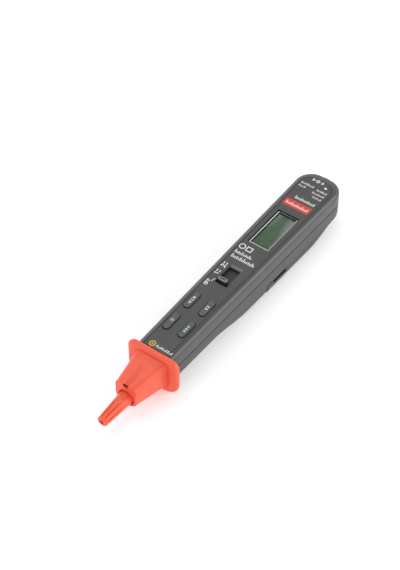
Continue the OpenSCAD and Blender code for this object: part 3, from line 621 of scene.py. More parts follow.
def belly_rings(along, half, low, radius, top, split):
    """Cross-sections from the top of the +Y wall, under the belly, to the top of the -Y wall.

    A wall point at height z has y = half where z is above the edge's circle, and else
    half - r + sqrt(r^2 - (low + r - z)^2). The split height has a point of its own."""
    def wall_y(z):
        drop = np.clip((low + radius)[:, None] - z, 0, radius[:, None])
        return half[:, None] - radius[:, None] + np.sqrt(radius[:, None] ** 2 - drop ** 2)
    top = np.broadcast_to(np.asarray(top, float), along.shape)
    split = np.maximum(split, low + 0.2 * radius)
    t = np.linspace(0, 1, 7)
    z = top[:, None] * (1 - t) + split[:, None] * t
    wall = np.stack([wall_y(z), z], -1)
    start = np.arcsin(np.clip((low + radius - split) / radius, 0, 1))
    a = start[:, None] + (np.pi / 2 - start)[:, None] * np.linspace(0, 1, 15)
    y = half[:, None] - radius[:, None] * (1 - np.cos(a))
    z = low[:, None] + radius[:, None] * (1 - np.sin(a))
    edge = np.stack([y, z], -1)
    y = (half - radius)[:, None] * np.linspace(1, 0, 4)[1:]
    under = np.stack([y, np.repeat(low[:, None], 3, axis=1)], -1)
    side = np.concatenate([wall, edge, under], axis=1)
    ring = np.concatenate([side, side[:, -2::-1] * [-1, 1]], axis=1)
    x = np.broadcast_to(along[:, None, None], ring.shape[:2] + (1,))
    return np.concatenate([x, ring], axis=2)


def rear_case_shape(s):
    """Lower case: cross-sections along the pen, an inner skin, and the bay for the door.

    In the bay every point below the door's edge is lifted to it, which leaves a flat ceiling. The
    ceiling and the step at the seam are painted black as painted shade."""
    c = s.case
    d = s.door
    lip = 0.15
    ceiling = d.edge + 1.4
    marks = [d.start - 0.01, d.start, d.end, d.end + 0.01]
    along, half, low, radius = belly_rows(c, 0, marks)
    outer = belly_rings(along, half, low, radius, c.seam - lip, d.edge)
    inside = (along >= d.start - TINY) & (along <= d.end + TINY)
    outer[inside, :, 2] = np.maximum(outer[inside, :, 2], d.edge)
    brim = outer[:, [0, -1]].copy()
    brim[:, :, 1] -= np.array([c.seam_depth, -c.seam_depth])
    brim[:, :, 2] = c.seam
    outer = np.concatenate([brim[:, :1], outer, brim[:, 1:]], axis=1)
    along, half, low, radius = belly_rows(c, -c.wall, marks)
    inner = belly_rings(along, half, low, radius, c.seam, ceiling)
    inside = (along >= d.start - c.wall) & (along <= d.end + c.wall)
    inner[inside, :, 2] = np.maximum(inner[inside, :, 2], ceiling)

    # The bay's ceiling is painted black as painted shade
    def bay_painted_shade(at):
        bay = (np.abs(at[:, 2] - d.edge) < 0.02) & (at[:, 0] > d.start) & (at[:, 0] < d.end)
        return np.where(bay, PAINTED_SHADE, PLAIN)
    shape = Shape()
    shape.skin(outer[:, 1:-1], wrap=False, pick=bay_painted_shade)
    # The step at the seam is painted black as painted shade
    shape.skin(outer[:, :2], wrap=False, finish=PAINTED_SHADE)
    shape.skin(outer[:, -2:], wrap=False, finish=PAINTED_SHADE)
    shape.skin(inner, wrap=False)
    for column in (0, -1):
        shape.skin(np.stack([outer[:, column], inner[:, column]]), wrap=False)
    shape.polygon(outer[-1])
    shape.polygon(inner[-1])
    shape.polygon(np.concatenate([outer[0], inner[0][::-1]]))
    shape.polygon(np.concatenate([outer[-1, [0, -1]], inner[-1, [-1, 0]]]))
    return shape


def door_shape(s):
    """Battery door: the belly's skin below its edge, with a slit and a closed notch on each side.

    It is flush with the case at its edge and comes out by the step over a short run below it. The
    notch is a pocket: a flat floor at the lowered edge and a back wall in front of the inner skin,
    both painted black as painted shade."""
    c = s.case
    d = s.door
    low_end = d.start + d.gap
    high_end = d.end - d.gap
    notch_end = d.notch_start + d.notch_length
    slope = 0.25
    bevel = 0.12
    run = 3
    thickness = c.wall - 0.4
    edge = d.edge - 0.03
    split = 5.2
    marks = [low_end, low_end + bevel, high_end - bevel, high_end, d.notch_start, d.notch_start + slope,
             notch_end - slope, notch_end]
    skins = []
    for grow in (d.proud, -thickness):
        along, half, low, radius = belly_rows(c, grow, marks, low_end, high_end)
        top = np.full(len(along), edge)
        if grow > 0:
            ease = bevel * (np.minimum(along - low_end, high_end - along) < bevel / 2)
            half = half - ease
            low = low + ease
            notch = np.clip(np.minimum(along - d.notch_start, notch_end - along) / slope, 0, 1)
            slit = d.slit * (along < d.notch_start + 0.1)
            top = top - np.maximum(d.notch_height * notch, slit)
        skins.append(belly_rings(along, half, low, radius, top, split))
    outer, inner = skins
    near_edge = 1 - smooth_step((d.edge - outer[:, :, 2]) / run)
    outer[:, :, 1] -= np.sign(outer[:, :, 1]) * (d.proud - 0.05) * near_edge
    shape = Shape()
    shape.skin(outer, wrap=False)
    shape.skin(inner, wrap=False)
    pockets = []
    # The notch pockets are painted black as painted shade
    for column, side in ((0, 1), (-1, -1)):
        back = inner[:, column] + [0, side * d.notch_back, 0]
        floor = np.column_stack([back[:, :2], outer[:, column, 2]])
        shape.skin(np.stack([outer[:, column], floor, back, inner[:, column]]), wrap=False, finish=PAINTED_SHADE)
        pockets.append((floor, back))
    (floor, back), (far_floor, far_back) = pockets
    for row in (0, -1):
        shape.polygon(np.concatenate([outer[row], [far_floor[row], far_back[row]], inner[row][::-1],
                                      [back[row], floor[row]]]))
    return shape


def well(shape, s, x, y, top):
    """Adds the round cutter of a screw's well, from below the pen up to a height."""
    shape.prism(circle(s.door.screw_well, 48, x, y), -1, top)


def socket_cutter(s):
    """Round bar along X that opens the end of the case for the insulator."""
    radius = s.socket.insulator + FIT
    shape = Shape()
    shape.bar(revolve([[s.case.end - 6, radius], [s.case.end + 3, radius]], s.case.seam))
    return shape


def rear_cutter(s):
    """Cutter of the lower case: the socket, three wells and the slots past the door's end, whose
    walls are painted black as painted shade.
    """
    d = s.door
    shape = socket_cutter(s)
    for x, y, top in ((68.8, 0, 6.9), (112, -7.2, 5), (112, 7.2, 5)):
        well(shape, s, x, y, top)
    for side in (-1, 1):
        y = sorted((side * 11.8, side * 14))
        outline = rounded_box([d.slot_start, y[0]], [d.slot_start + d.slot_length, y[1]], 0.3, 3)
        # The slots' walls are painted black as painted shade
        shape.prism(outline, d.slot_low, d.slot_low + d.slot_height, PAINTED_SHADE)
    return shape


def door_cutter(s):
    """Cutter of the door: the well of its screw."""
    shape = Shape()
    well(shape, s, s.door.screw_x, 0, 5)
    return shape


def add_collar(s, piece, upper):
    """Joins half of the raised ring round the socket to a case half: a section turned by 180 degrees."""
    k = s.socket
    end = s.case.end + k.collar_proud
    back = s.case.end - s.case.wall + 0.15
    bore = k.insulator + FIT
    section = soften([[back, bore], [end, bore], [end, k.collar], [back, k.collar]], [0.1, 0.28])
    turn = np.linspace(-np.pi / 2, np.pi / 2, 49) + (0 if upper else np.pi)
    shape = Shape()
    shape.bar(revolve(section, s.case.seam, turn).transpose(1, 0, 2))
    ring = loose_object("collar", shape)
    whole = bmesh.new()
    whole.from_mesh(piece.data)
    whole.from_mesh(ring.data)
    whole.to_mesh(piece.data)
    whole.free()
    bpy.data.meshes.remove(ring.data)
    smooth_faces(piece, SHARP_ANGLE)


def guard_ring(x, half, low_r, low_z, top_z, top_r, trough, trough_z):
    """Cross-sections of the guard, each the hull of two lower and two upper circles.

    The outline runs over the flat top, the upper arc, the tangent side and the lower arc, where
    the side's normal angle is angle(d) - acos((low_r - top_r) / |d|) for the circles' distance d.
    Where the trough is open, the middle of the top follows z = axis - sqrt(r^2 - y^2)."""
    x, half, low_r, low_z, top_z, top_r, trough_z = [
        np.asarray(v, float)[:, None] for v in (x, half, low_r, low_z, top_z, top_r, trough_z)]
    least = 0.04
    dy = low_r - top_r
    dz = top_z - top_r - low_z
    turn = np.arctan2(dz, dy) - np.arccos(np.clip(dy / np.hypot(dy, dz), -1, 1))
    above = trough_z - top_z
    open_half = np.sqrt(np.clip(trough ** 2 - above ** 2, 0, None))
    open_half = np.where(above < trough, np.maximum(open_half, least), least)
    y0 = open_half * np.linspace(0, 1, 13)
    sag = trough_z - np.sqrt(np.maximum(trough ** 2 - y0 ** 2, 0))
    z0 = np.minimum(np.where(above < trough, sag, top_z), top_z)
    t = np.linspace(0, 1, 9)[1:-1]
    y1 = open_half + (half - top_r - open_half) * t
    z1 = np.repeat(top_z, len(t), axis=1)
    a = np.pi / 2 + (turn - np.pi / 2) * np.linspace(0, 1, 11)
    y2 = half - top_r + top_r * np.cos(a)
    z2 = top_z - top_r + top_r * np.sin(a)
    a = turn + (-np.pi / 2 - turn) * np.linspace(0, 1, 25)
    y3 = half - low_r + low_r * np.cos(a)
    z3 = low_z + low_r * np.sin(a)
    y4 = (half - low_r) * np.array([0.5, 0])
    z4 = np.repeat(low_z - low_r, 2, axis=1)
    y = np.concatenate([y0, y1, y2, y3, y4], axis=1)
    z = np.concatenate([z0, z1, z2, z3, z4], axis=1)
    y = np.concatenate([y, -y[:, -2:0:-1]], axis=1)
    z = np.concatenate([z, z[:, -2:0:-1]], axis=1)
    return np.stack([np.broadcast_to(x, y.shape), y, z], -1)


def guard_shape(s):
    """Finger guard: sections interpolated along X between the places where its form changes.

    The trough on the nose is depth (1 - t^2) deep, with t from 0 at the front face to 1 before
    the flange. Its axis is out of reach behind that."""
    g = s.guard
    nose = g.nose_width / 2
    flange = g.flange_width / 2
    front_top = g.nose_height
    rear_top = g.flange_height - 2.4
    # A place and steps from it: x, half width, lower radius, its centre's height, top, upper radius
    places = [
        ((g.start, nose, nose, g.axis + 0.3, front_top, 0), [
            (0, -0.36, -1.0, 0, -0.4, 3.0), (0.04, -0.24, -0.88, 0, -0.26, 3.1),
            (0.12, -0.14, -0.78, 0, -0.15, 3.2), (0.28, -0.06, -0.71, 0, -0.06, 3.3),
            (0.6, -0.01, -0.66, 0, -0.01, 3.4), (1.1, 0, -0.65, 0, 0, 3.4)]),
        ((g.flange, g.width / 2, 5, 8.1, rear_top, 0), [
            (-0.8, 0, 0, 0, -0.1, 3.3), (-0.6, 0.1, 0.05, 0, -0.05, 3.3), (-0.42, 0.28, 0.15, 0, 0.06, 3.3),
            (-0.28, 0.6, 0.4, 0.1, 0.24, 3.5), (-0.18, 1.3, 0.9, 0.2, 0.6, 3.8)]),
        ((g.flange, flange, 8.4, 8.4, g.flange_height, 0), [
            (-0.08, -2.2, -1.6, 0, -1.3, 4.0), (0.1, -1.1, -0.9, 0, -0.75, 4.1),
            (0.4, -0.5, -0.45, 0, -0.36, 4.2), (0.8, -0.14, -0.12, 0, -0.1, 4.4), (1.2, 0, 0, 0, 0, 4.5)]),
        ((s.case.start, flange, 8.4, 8.4, g.flange_height, 0), [
            (-1.1, 0, 0, 0, 0, 4.5), (-0.6, -0.12, -0.1, 0, -0.1, 4.4), (-0.2, -0.42, -0.35, 0, -0.35, 4.2),
            (0, -0.9, -0.7, 0, -0.8, 4.0)]),
        ((s.case.start, 8.5, 3.1, 9.6, 21.4, 0), [
            (0, 0, 0, 0, 0, 3.0), (4.9, 0, 0, 0, 0, 3.0), (4.9, -1, -1, 0, -1, 2.0),
            (0, -1, -1, 0, -1, 2.0)])]
    knots = np.array([np.add(place, step) for place, steps in places for step in steps])
    nose_end = len(places[0][1])
    start, stop = knots[nose_end - 1:nose_end + 1]
    middle = np.linspace(start[0], stop[0], 40)[1:-1]
    body = np.column_stack([np.interp(middle, [start[0], stop[0]], ends) for ends in zip(start, stop)])
    rows = np.concatenate([knots[:nose_end], body, knots[nose_end:]])
    way = (rows[:, 0] - g.start) / (g.flange - g.start - 3)
    ridge = front_top + (rear_top - front_top) * (rows[:, 0] - g.start) / (g.flange - g.start - 0.8)
    trough_z = ridge - g.trough_depth * (1 - way ** 2) + g.trough
    trough_z[rows[:, 0] > g.flange - 0.7] = np.inf
    rings = guard_ring(*rows.T, g.trough, trough_z)
    turn = np.arctan2(rings[0, :, 1], rings[0, :, 2] - g.axis)
    drum = 5.1
    shoulder = g.mouth - 0.2
    bores = [(s.case.start, drum), (g.start + 7.5, drum), (g.start + 7.5, shoulder),
             (g.start + 1.5, shoulder), (g.start + 1.5, g.mouth), (g.start + 0.18, g.mouth),
             (g.start + 0.05, g.mouth + 0.05), (g.start, g.mouth + 0.16)]

    # The fillet between nose and flange is painted darker red as painted shade
    def crease_painted_shade(at):
        front = (at[:, 0] > g.flange - 0.55) & (at[:, 0] < g.flange - 0.2)
        return np.where(front & (np.hypot(at[:, 1], at[:, 2] - g.axis) > drum + 0.1), CREASE_SHADE, PLAIN)
    shape = Shape()
    shape.skin(np.concatenate([rings, revolve(bores, g.axis, turn)]), loop=True, pick=crease_painted_shade)
    return shape


def torch_cutter(s):
    """Pill-shaped bar along X that opens the torch's mouth."""
    g = s.guard
    outline = pill((g.torch_width, g.torch_height), 0, 0, 10)
    middle = g.nose_height - g.trough_depth + 0.5 - g.torch_height / 2
    shape = Shape()
    shape.bar([np.column_stack([np.full(len(outline), x), outline[:, 0], middle + outline[:, 1]])
               for x in (g.start - 2, g.start + 0.85)], TORCH_SHADE)
    return shape


def sleeve_shape(s):
    """Twist sleeve: a turned profile whose radius dips along each flute.

    r(x, a) = profile(x) - depth(x) * w^1.5, with w the part of cos(flutes * a / 2)^2 above 0.66 and
    depth easing in behind the tip and out before the guard."""
    g = s.guard
    grow = (g.sleeve_base - g.sleeve_tip) / g.start
    neck = g.start + 7.6
    drum_end = s.case.start - 0.4
    drum, drum_bore, pin_bore = 5, 3.8, 1.6
    outside = np.linspace(0.9, g.start + 1.6, 90)
    profile = np.concatenate([
        [[4, pin_bore], [4, g.pin + 0.1], [0.25, g.pin + 0.1], [0.08, g.pin + 0.18], [0, g.pin + 0.4],
         [0, g.sleeve_tip - 0.75], [0.05, g.sleeve_tip - 0.5], [0.2, g.sleeve_tip - 0.26],
         [0.5, g.sleeve_tip - 0.06]],
        np.column_stack([outside, g.sleeve_tip + grow * outside]),
        [[g.start + 2, g.sleeve_base + 0.3], [neck, g.sleeve_base + 0.3], [neck, drum], [drum_end, drum],
         [drum_end, drum_bore], [neck + 0.3, drum_bore], [neck + 0.3, pin_bore]]])
    angles = np.linspace(0, 2 * np.pi, 240, endpoint=False)
    rings = revolve(profile, 0, angles)
    wave = np.clip((np.cos(g.flutes * (angles + np.pi / g.flutes) / 2) ** 2 - 0.66) / 0.34, 0, 1)
    x, radius = profile.T
    depth = g.flute_depth * smooth_step((x - 0.7) / 1.6) * (1 - smooth_step((x - 9) / 7))
    depth = np.where((radius > 2.3) & (x < g.start), depth, 0)
    rings[:, :, 1:] *= (1 - depth[:, None] * wave ** 1.5 / radius[:, None])[:, :, None]
    rings[:, :, 2] += g.axis
    shape = Shape()
    shape.skin(rings, loop=True)
    return shape


def key_shape(s, x, y):
    """Key cap: pill outlines carried over a round shoulder to a faintly crowned top, and its stem."""
    top = s.case.face + s.control.key_proud
    under = s.case.face - s.case.face_wall - 0.1
    stem = under - 0.6
    dome = 18.45
    steps = [(-1.8, 0.04), (-1.4, 0.035), (-0.9, 0.02), (-0.55, 0), (-0.34, -0.03), (-0.2, -0.1),
             (-0.1, -0.2), (-0.03, -0.34), (0, -0.5), (0, under - top), (0.5, under - top), (0.5, stem - top)]
    rings = [key_ring(s.control, grow, x, y, top + z) for grow, z in steps]
    post = pill((2.6, 2.6), x, y)
    shape = Shape()
    shape.skin(rings[:6])
    shape.skin(rings[5:], finish=SKIRT)
    shape.skin([rings[-1], at_height(post, stem), at_height(post, dome)], finish=SKIRT)
    shape.plate(post, [], dome, SKIRT)
    return shape


def slider_shape(s):
    """Knob with a dished top, on the deck that closes the slot. The deck and the knob's sides are painted
    dark as painted shade, and its upper edge is painted light as a painted highlight.
    """
    k = s.control
    deck = s.case.face - s.case.face_wall - 0.1
    low = deck - 0.8
    top = s.case.face + k.knob_proud
    x = k.slot_start + 0.9 + k.knob_length / 2
    travel = k.slot_length - k.knob_length - 1.4
    wide = k.slot_width / 2 + 0.6
    outline = rounded_box([k.slot_start - travel - 0.5, -wide],
                          [k.slot_start + k.slot_length + 0.5, wide], 0.3)

    def knob(grow, z, radius):
        half_x = k.knob_length / 2 + grow
        half_y = k.knob_width / 2 + grow
        return box_ring((x - half_x, x + half_x), (-half_y, half_y), radius, z)
    foot = knob(0.15, deck, 0.6)
    shoulder = knob(0, top - 0.35, 0.5)
    rim = knob(-0.56, top - 0.05, 0.26)
    dish = knob(-0.68, top - 0.25, 0.2)
    shape = Shape()
    # The deck and the knob's sides are painted dark as painted shade
    shape.skin([at_height(outline, low), at_height(outline, deck)])
    shape.plate(outline, [], low)
    shape.plate(outline, [foot], deck)
    shape.skin([foot, knob(0.04, deck + 0.12, 0.52), knob(0, deck + 0.4, 0.5), shoulder])
    # The knob's upper edge is painted light as a painted highlight
    shape.skin([shoulder, knob(-0.06, top - 0.12, 0.46), knob(-0.2, top - 0.01, 0.4), knob(-0.3, top, 0.35),
                knob(-0.5, top, 0.3), rim], finish=KNOB_RIM_HIGHLIGHT)
    shape.skin([rim, dish])
    shape.plate(dish, [], top - 0.25, KNOB_DISH)
    return shape


def lens_shape(s):
    """Clear plate with a raised pane that fills the window, and a bright edge round it that is a painted
    highlight: brightest on the +Y side, white at the tip end and dimmer on the -Y side and at the socket end.
    """
    k = s.control
    low = s.case.face - s.case.face_wall
    flange = low + 0.98
    top = s.case.face - k.pane_drop
    half_x = k.window_length / 2
    half_y = k.window_width / 2

    def pane(tip, near, back, far, z, radius):
        return box_ring((k.window_x - half_x - tip, k.window_x + half_x + back),
                        (-half_y - near, half_y + far), radius, z)

    # Edge of the pane painted light as painted highlight, in three tones by side
    def edge_painted_glint(at):
        side = (at[:, 1] < -4) | (at[:, 0] > k.window_x + 13)
        return np.select([at[:, 0] < k.window_x - 13, side], [LENS_TIP_GLINT, LENS_SIDE_GLINT], LENS_EDGE_GLINT)
    base = window_ring(k, 2.1, 1.9, 0.5, low)
    foot = pane(0.25, 0.3, 0, 0, low, 0.4)
    waist = at_height(foot[:, :2], flange)
    shoulder = pane(0.25, 0.3, 0, 0, top - 0.14, 0.4)
    inside = pane(-0.12, -0.2, -0.22, -0.42, top, 0.3)
    shape = Shape()
    shape.plate(base, [foot], low, LENS_FLANGE)
    shape.plate(foot, [], low)
    shape.skin([base, window_ring(k, 2.1, 1.9, 0.5, flange), waist], finish=LENS_FLANGE)
    shape.skin([waist, shoulder])
    shape.skin([shoulder, pane(0.21, 0.26, -0.04, -0.04, top - 0.02, 0.38), inside], pick=edge_painted_glint)
    shape.plate(inside, [], top)
    return shape


def display_shape(s):
    """Display glass with a thin dark rim inside the window."""
    low, high = np.array(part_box("display_glass")) * MM + [HALF_LENGTH, 0, 0]
    outline = rounded_box(low[:2], high[:2], 0.25)
    sunk = high[2] - 0.02
    view = window_ring(s.control, -0.55, -0.5, 0.2, high[2])
    shape = Shape()
    shape.plate(outline, [], low[2], DISPLAY_RIM)
    shape.skin([at_height(outline, low[2]), at_height(outline, high[2])], finish=DISPLAY_RIM)
    shape.plate(outline, [view], high[2], DISPLAY_RIM)
    shape.skin([view, at_height(view[:, :2], sunk)], finish=DISPLAY_RIM)
    shape.plate(view, [], sunk)
    return shape


def socket_ends(s):
    """Where the brass tube begins and ends along the pen, with a floor of 1.2 mm behind its bore."""
    end = s.case.end + s.socket.collar_proud - s.socket.recess
    return end - s.socket.depth - 1.2, end


def socket_tube_shape(s):
    """Brass tube with a chamfered mouth and a blind bore."""
    k = s.socket
    back, end = socket_ends(s)
    profile = soften([[back, 0.001], [back, k.tube], [end, k.tube], [end, k.bore + 0.25],
                      [end - 0.25, k.bore], [end - k.depth, k.bore], [end - k.depth - 0.02, 0.001]],
                     [0.2, 0.15, 0.05, 0.05, 0.1])
    shape = Shape()
    shape.skin(revolve(profile, s.case.seam))
    return shape


def insulator_shape(s):
    """Black ring round the socket with a soft rim and a collar behind the wall."""
    k = s.socket
    end = s.case.end + k.collar_proud
    back = socket_ends(s)[0] + 3
    step = end - k.recess - 6
    wall = s.case.end - s.case.wall
    collar = k.insulator + 0.9
    profile = soften([[back, k.tube], [back, k.insulator], [wall - 3, k.insulator], [wall - 3, collar],
                      [wall - 0.6, collar], [wall - 0.6, k.insulator], [end, k.insulator], [end, k.shroud],
                      [step, k.shroud], [step, k.tube]],
                     [0.2, 0, 0.1, 0.1, 0, 0.12, 0.15, 0.1])
    shape = Shape()
    shape.skin(revolve(profile, s.case.seam), loop=True)
    return shape


# Strokes of the label signs, in parts of their height
STROKES = {
    "0": [[(0, 0.2), (0.18, 0), (0.42, 0), (0.6, 0.2), (0.6, 0.8), (0.42, 1), (0.18, 1), (0, 0.8),
           (0, 0.2)]],
    "1": [[(0.08, 0.75), (0.34, 1), (0.34, 0)]],
    "2": [[(0, 0.78), (0.16, 1), (0.44, 1), (0.6, 0.8), (0.55, 0.52), (0, 0), (0.62, 0)]],
    "F": [[(0, 0), (0, 1), (0.56, 1)], [(0, 0.52), (0.45, 0.52)]],
}

# Rows of ticks on the panel: x, first y, last y, count and repeating lengths
TICK_ROWS = (
    (112.8, 6.7, -6.4, 14, (2.5, 1.5, 1.5, 2.0, 1.5, 2.5, 1.5)),
    (116.4, 7.0, -2.3, 10, (2.3, 1.4, 1.8, 1.4)),
    (172.4, -3.0, -7.4, 5, (1.4, 0.9)),
    (175.2, -1.0, -7.4, 7, (1.4, 0.9, 0.9)),
    (178.0, -2.1, -7.4, 6, (1.4, 0.9, 1.4)),
    (176.0, 8.0, 4.7, 4, (1.4, 0.9, 0.9)),
    (178.6, 8.1, 1.0, 8, (1.4, 0.9, 0.9, 1.4)),
    (166.9, 4.3, -6.9, 13, (2.2, 1.4, 1.4, 1.4)),
    (43.1, 0.5, -8.0, 9, (1.6, 1.0, 1.6)),
)


def ticks(x, first, last, count, lengths):
    """Upright ticks across the pen from a first to a last y, of repeating lengths along X."""
    places = np.linspace(first, last, count)
    return [(x, y - 0.24, x + lengths[k % len(lengths)], y + 0.24) for k, y in enumerate(places)]


class Print(Shape):
    """Flat raised marks between two heights."""

    def __init__(self, low, high):
        super().__init__()
        self.low = low
        self.high = high

    def patch(self, outline):
        """Closed prism over a flat outline."""
        self.prism(outline, self.low, self.high)

    def stroke(self, points, width):
        """Closed prism along a polyline: at each corner the two edges meet on the mitre line."""
        points = np.asarray(points, float)
        run = np.diff(points, axis=0)
        run /= np.linalg.norm(run, axis=1)[:, None]
        before = np.concatenate([run[:1], run])
        after = np.concatenate([run, run[-1:]])
        closed = np.allclose(points[0], points[-1])
        if closed:
            before[0] = run[-1]
            after[-1] = run[0]
        mitre = np.column_stack([-(before + after)[:, 1], (before + after)[:, 0]])
        mitre /= np.linalg.norm(mitre, axis=1)[:, None]
        normal = np.column_stack([-after[:, 1], after[:, 0]])
        reach = width / 2 / np.maximum(np.sum(mitre * normal, axis=1), 0.4)
        left = points + mitre * reach[:, None]
        right = points - mitre * reach[:, None]
        rings = np.stack([at_height(left, self.low), at_height(right, self.low),
                          at_height(right, self.high), at_height(left, self.high)], 1)
        if closed:
            self.skin(rings[:-1], loop=True)
        else:
            self.bar(rings)

    def hoop(self, radius, count, place, width):
        """Round stroke about a place."""
        ring = circle(radius, count, *place)
        self.stroke(np.concatenate([ring, ring[:1]]), width)

    def bars(self, rows):
        """Upright-sided bars, each from (x0, y0) to (x1, y1)."""
        for x0, y0, x1, y1 in rows:
            self.patch(rounded_box([x0, y0], [x1, y1], min(x1 - x0, y1 - y0) * 0.25, 2))

    def signs(self, text, x, y, size, width):
        """Plain strokes of a switch label, read along the pen."""
        for k, sign in enumerate(text):
            for path in STROKES[sign]:
                self.stroke(np.array(path) * size + [x + k * size * 0.85, y], width)


def panel_print(s, rise=0.03):
    """Empty print on the panel, sunk into it by a trace."""
    return Print(s.case.face - 0.02, s.case.face + rise)


def panel_print_shape(s):
    """White print of the panel: switch labels, ticks, a pointer, bars and a tick scale on the badge."""
    marks = panel_print(s)
    marks.signs("0FF", 89.9, 5.3, 1.75, 0.34)
    marks.stroke([(93.2, 4.6), (95.0, 4.6), (95.7, 3.9)], 0.34)
    marks.signs("1", 98.6, 4.8, 2.3, 0.42)
    marks.bars([(100.4, 4.9, 102.0, 5.4), (100.4, 6.5, 102.0, 7.0)])
    marks.signs("2", 104.6, 4.9, 2.3, 0.42)
    marks.bars([(106.6, 5.0, 108.2, 5.5), (106.6, 6.6, 108.2, 7.1)])
    marks.bars([tick for row in TICK_ROWS for tick in ticks(*row)])
    marks.bars([(183.5, y + edge, 185.3, y + edge + 0.45) for edge in (-0.6, 0.15) for y in (3.9, -1.6)])
    marks.stroke([(120.6, 0.4), (123.5, 0.4), (123.5, 3.3), (120.6, 3.3), (120.6, 0.4)], 0.5)
    marks.hoop(1.6, 32, (122.1, 6.1), 0.5)
    marks.hoop(0.85, 32, (184.4, 1.2), 0.5)
    marks.patch([(183.1, -4.2), (182.2, -6.0), (181.3, -4.4)])
    marks.low, marks.high = marks.high + 0.002, marks.high + 0.03
    marks.bars([(161.4, y - 0.2, 163.6 if k % 4 == 0 else 162.7, y + 0.2)
                for k, y in enumerate(np.linspace(-6.4, 6.4, 17))])
    return marks


def key_print_shape(s, node, x, y):
    """White sign on a key: opposing triangles, two bars, a round lamp with rays, or a step mark."""
    low = s.case.face + s.control.key_proud + 0.01
    marks = Print(low, low + 0.06)
    if node == "key_range":
        for side in (-1, 1):
            marks.patch([(x + side * 3.0, y), (x + side * 1.2, y - side * 0.85),
                         (x + side * 1.2, y + side * 0.85)])
        marks.bars([(x - 0.28, y - 0.85, x + 0.28, y + 0.85)])
    if node == "key_hold":
        marks.bars([(x + edge, y - 0.8, x + edge + 0.75, y + 0.8) for edge in (-1.2, 0.45)])
    if node == "key_lamp":
        place = np.array([x + 0.7, y])
        marks.hoop(0.48, 24, place, 0.26)
        for turn in np.arange(8) * np.pi / 4:
            ray = np.array([np.cos(turn), np.sin(turn)])
            marks.stroke([ray * 0.78 + place, ray * 1.12 + place], 0.22)
    if node == "key_select":
        for shift in (-2.2, -0.5, 1.2):
            marks.patch([(x + shift + 1.2, y), (x + shift, y + 0.8), (x + shift, y - 0.8)])
    return marks


def sign_print_shape(s):
    """Yellow ring with a dot beside the keys."""
    marks = panel_print(s)
    marks.hoop(1.45, 40, (44.0, 3.4), 0.6)
    marks.patch(circle(0.5, 20, 44.0, 3.4))
    return marks


def badge_print_shape(s):
    """Red field of the badge."""
    marks = panel_print(s, 0.02)
    marks.patch(rounded_box([160.0, -7.8], [165.2, 7.8], 0.2, 3))
    return marks


def new_material(name):
    """Node material with its tree and its Principled shader."""
    material = bpy.data.materials.new(name)
    material.use_nodes = True
    return material, material.node_tree, material.node_tree.nodes["Principled BSDF"]


def feed(node, inputs):
    """Sets a node's inputs by name or number: a link where the value is an output, else the value."""
    for key, value in inputs.items():
        if isinstance(value, bpy.types.NodeSocket):
            node.id_data.links.new(value, node.inputs[key])
        else:
            node.inputs[key].default_value = value
    return node


def add_node(tree, kind, inputs=()):
    """New shader node with its inputs set."""
    return feed(tree.nodes.new("ShaderNode" + kind), dict(inputs))


def place_on_object(tree):
    """Object coordinates, in metres."""
    return add_node(tree, "TexCoord").outputs["Object"]


def noise(tree, scale, detail, roughness=0.5):
    """Noise over object coordinates, in units of the given scale per metre."""
    texture = add_node(tree, "TexNoise", {
        "Vector": place_on_object(tree), "Scale": scale, "Detail": detail, "Roughness": roughness})
    return texture.outputs["Fac"]


def ramp(tree, source, stops):
    """Colour ramp over a value, with stops of (place, linear colour)."""
    node = add_node(tree, "ValToRGB", {"Fac": source})
    elements = node.color_ramp.elements
    while len(elements) < len(stops):
        elements.new(0.5)
    for element, (place, value) in zip(elements, stops):
        element.position = place
        element.color = (*value, 1)
    return node.outputs["Color"]


def spread(tree, source, low, high, start=0.3, end=0.7):
    """Maps a value from start..end to low..high."""
    return add_node(tree, "MapRange", {
        "Value": source, "From Min": start, "From Max": end, "To Min": low, "To Max": high}).outputs["Result"]


def bump(tree, shader, source, depth):
    """Raises the surface by a value times depth, in metres, on top of any bump before it."""
    node = add_node(tree, "Bump", {"Distance": depth, "Height": source})
    if shader.inputs["Normal"].links:
        feed(node, {"Normal": shader.inputs["Normal"].links[0].from_socket})
    feed(shader, {"Normal": node.outputs["Normal"]})


def shade(value, factor):
    """Colour times a factor, kept below 1."""
    return tuple(min(part * factor, 1) for part in value)


def moulded(name, value, rough, variation=0.06, grain=4200, depth=0.000012):
    """Moulded plastic: faint cloudy colour, spark-eroded grain in the bump, uneven gloss."""
    material, tree, shader = new_material(name)
    clouds = [(0.3, shade(value, 1 - variation)), (0.7, shade(value, 1 + variation))]
    fine = noise(tree, grain, 2, 0.6)
    feed(shader, {"Base Color": ramp(tree, noise(tree, 90, 3), clouds),
                  "Roughness": spread(tree, fine, *rough)})
    bump(tree, shader, fine, depth)
    bump(tree, shader, noise(tree, 60, 2), depth * 2)
    return material


def metal(name, value, rough=(0.18, 0.34), stretch=(1, 1, 1)):
    """Bare metal with fine drawn lines along the short axes of the stretch."""
    material, tree, shader = new_material(name)
    mapping = add_node(tree, "Mapping", {"Vector": place_on_object(tree), "Scale": stretch})
    lines = add_node(tree, "TexNoise", {
        "Vector": mapping.outputs["Vector"], "Scale": 2500, "Detail": 3}).outputs["Fac"]
    feed(shader, {"Base Color": ramp(tree, lines, [(0.3, shade(value, 0.88)), (0.7, value)]),
                  "Roughness": spread(tree, lines, *rough), "Metallic": 1})
    bump(tree, shader, lines, 0.000004)
    return material


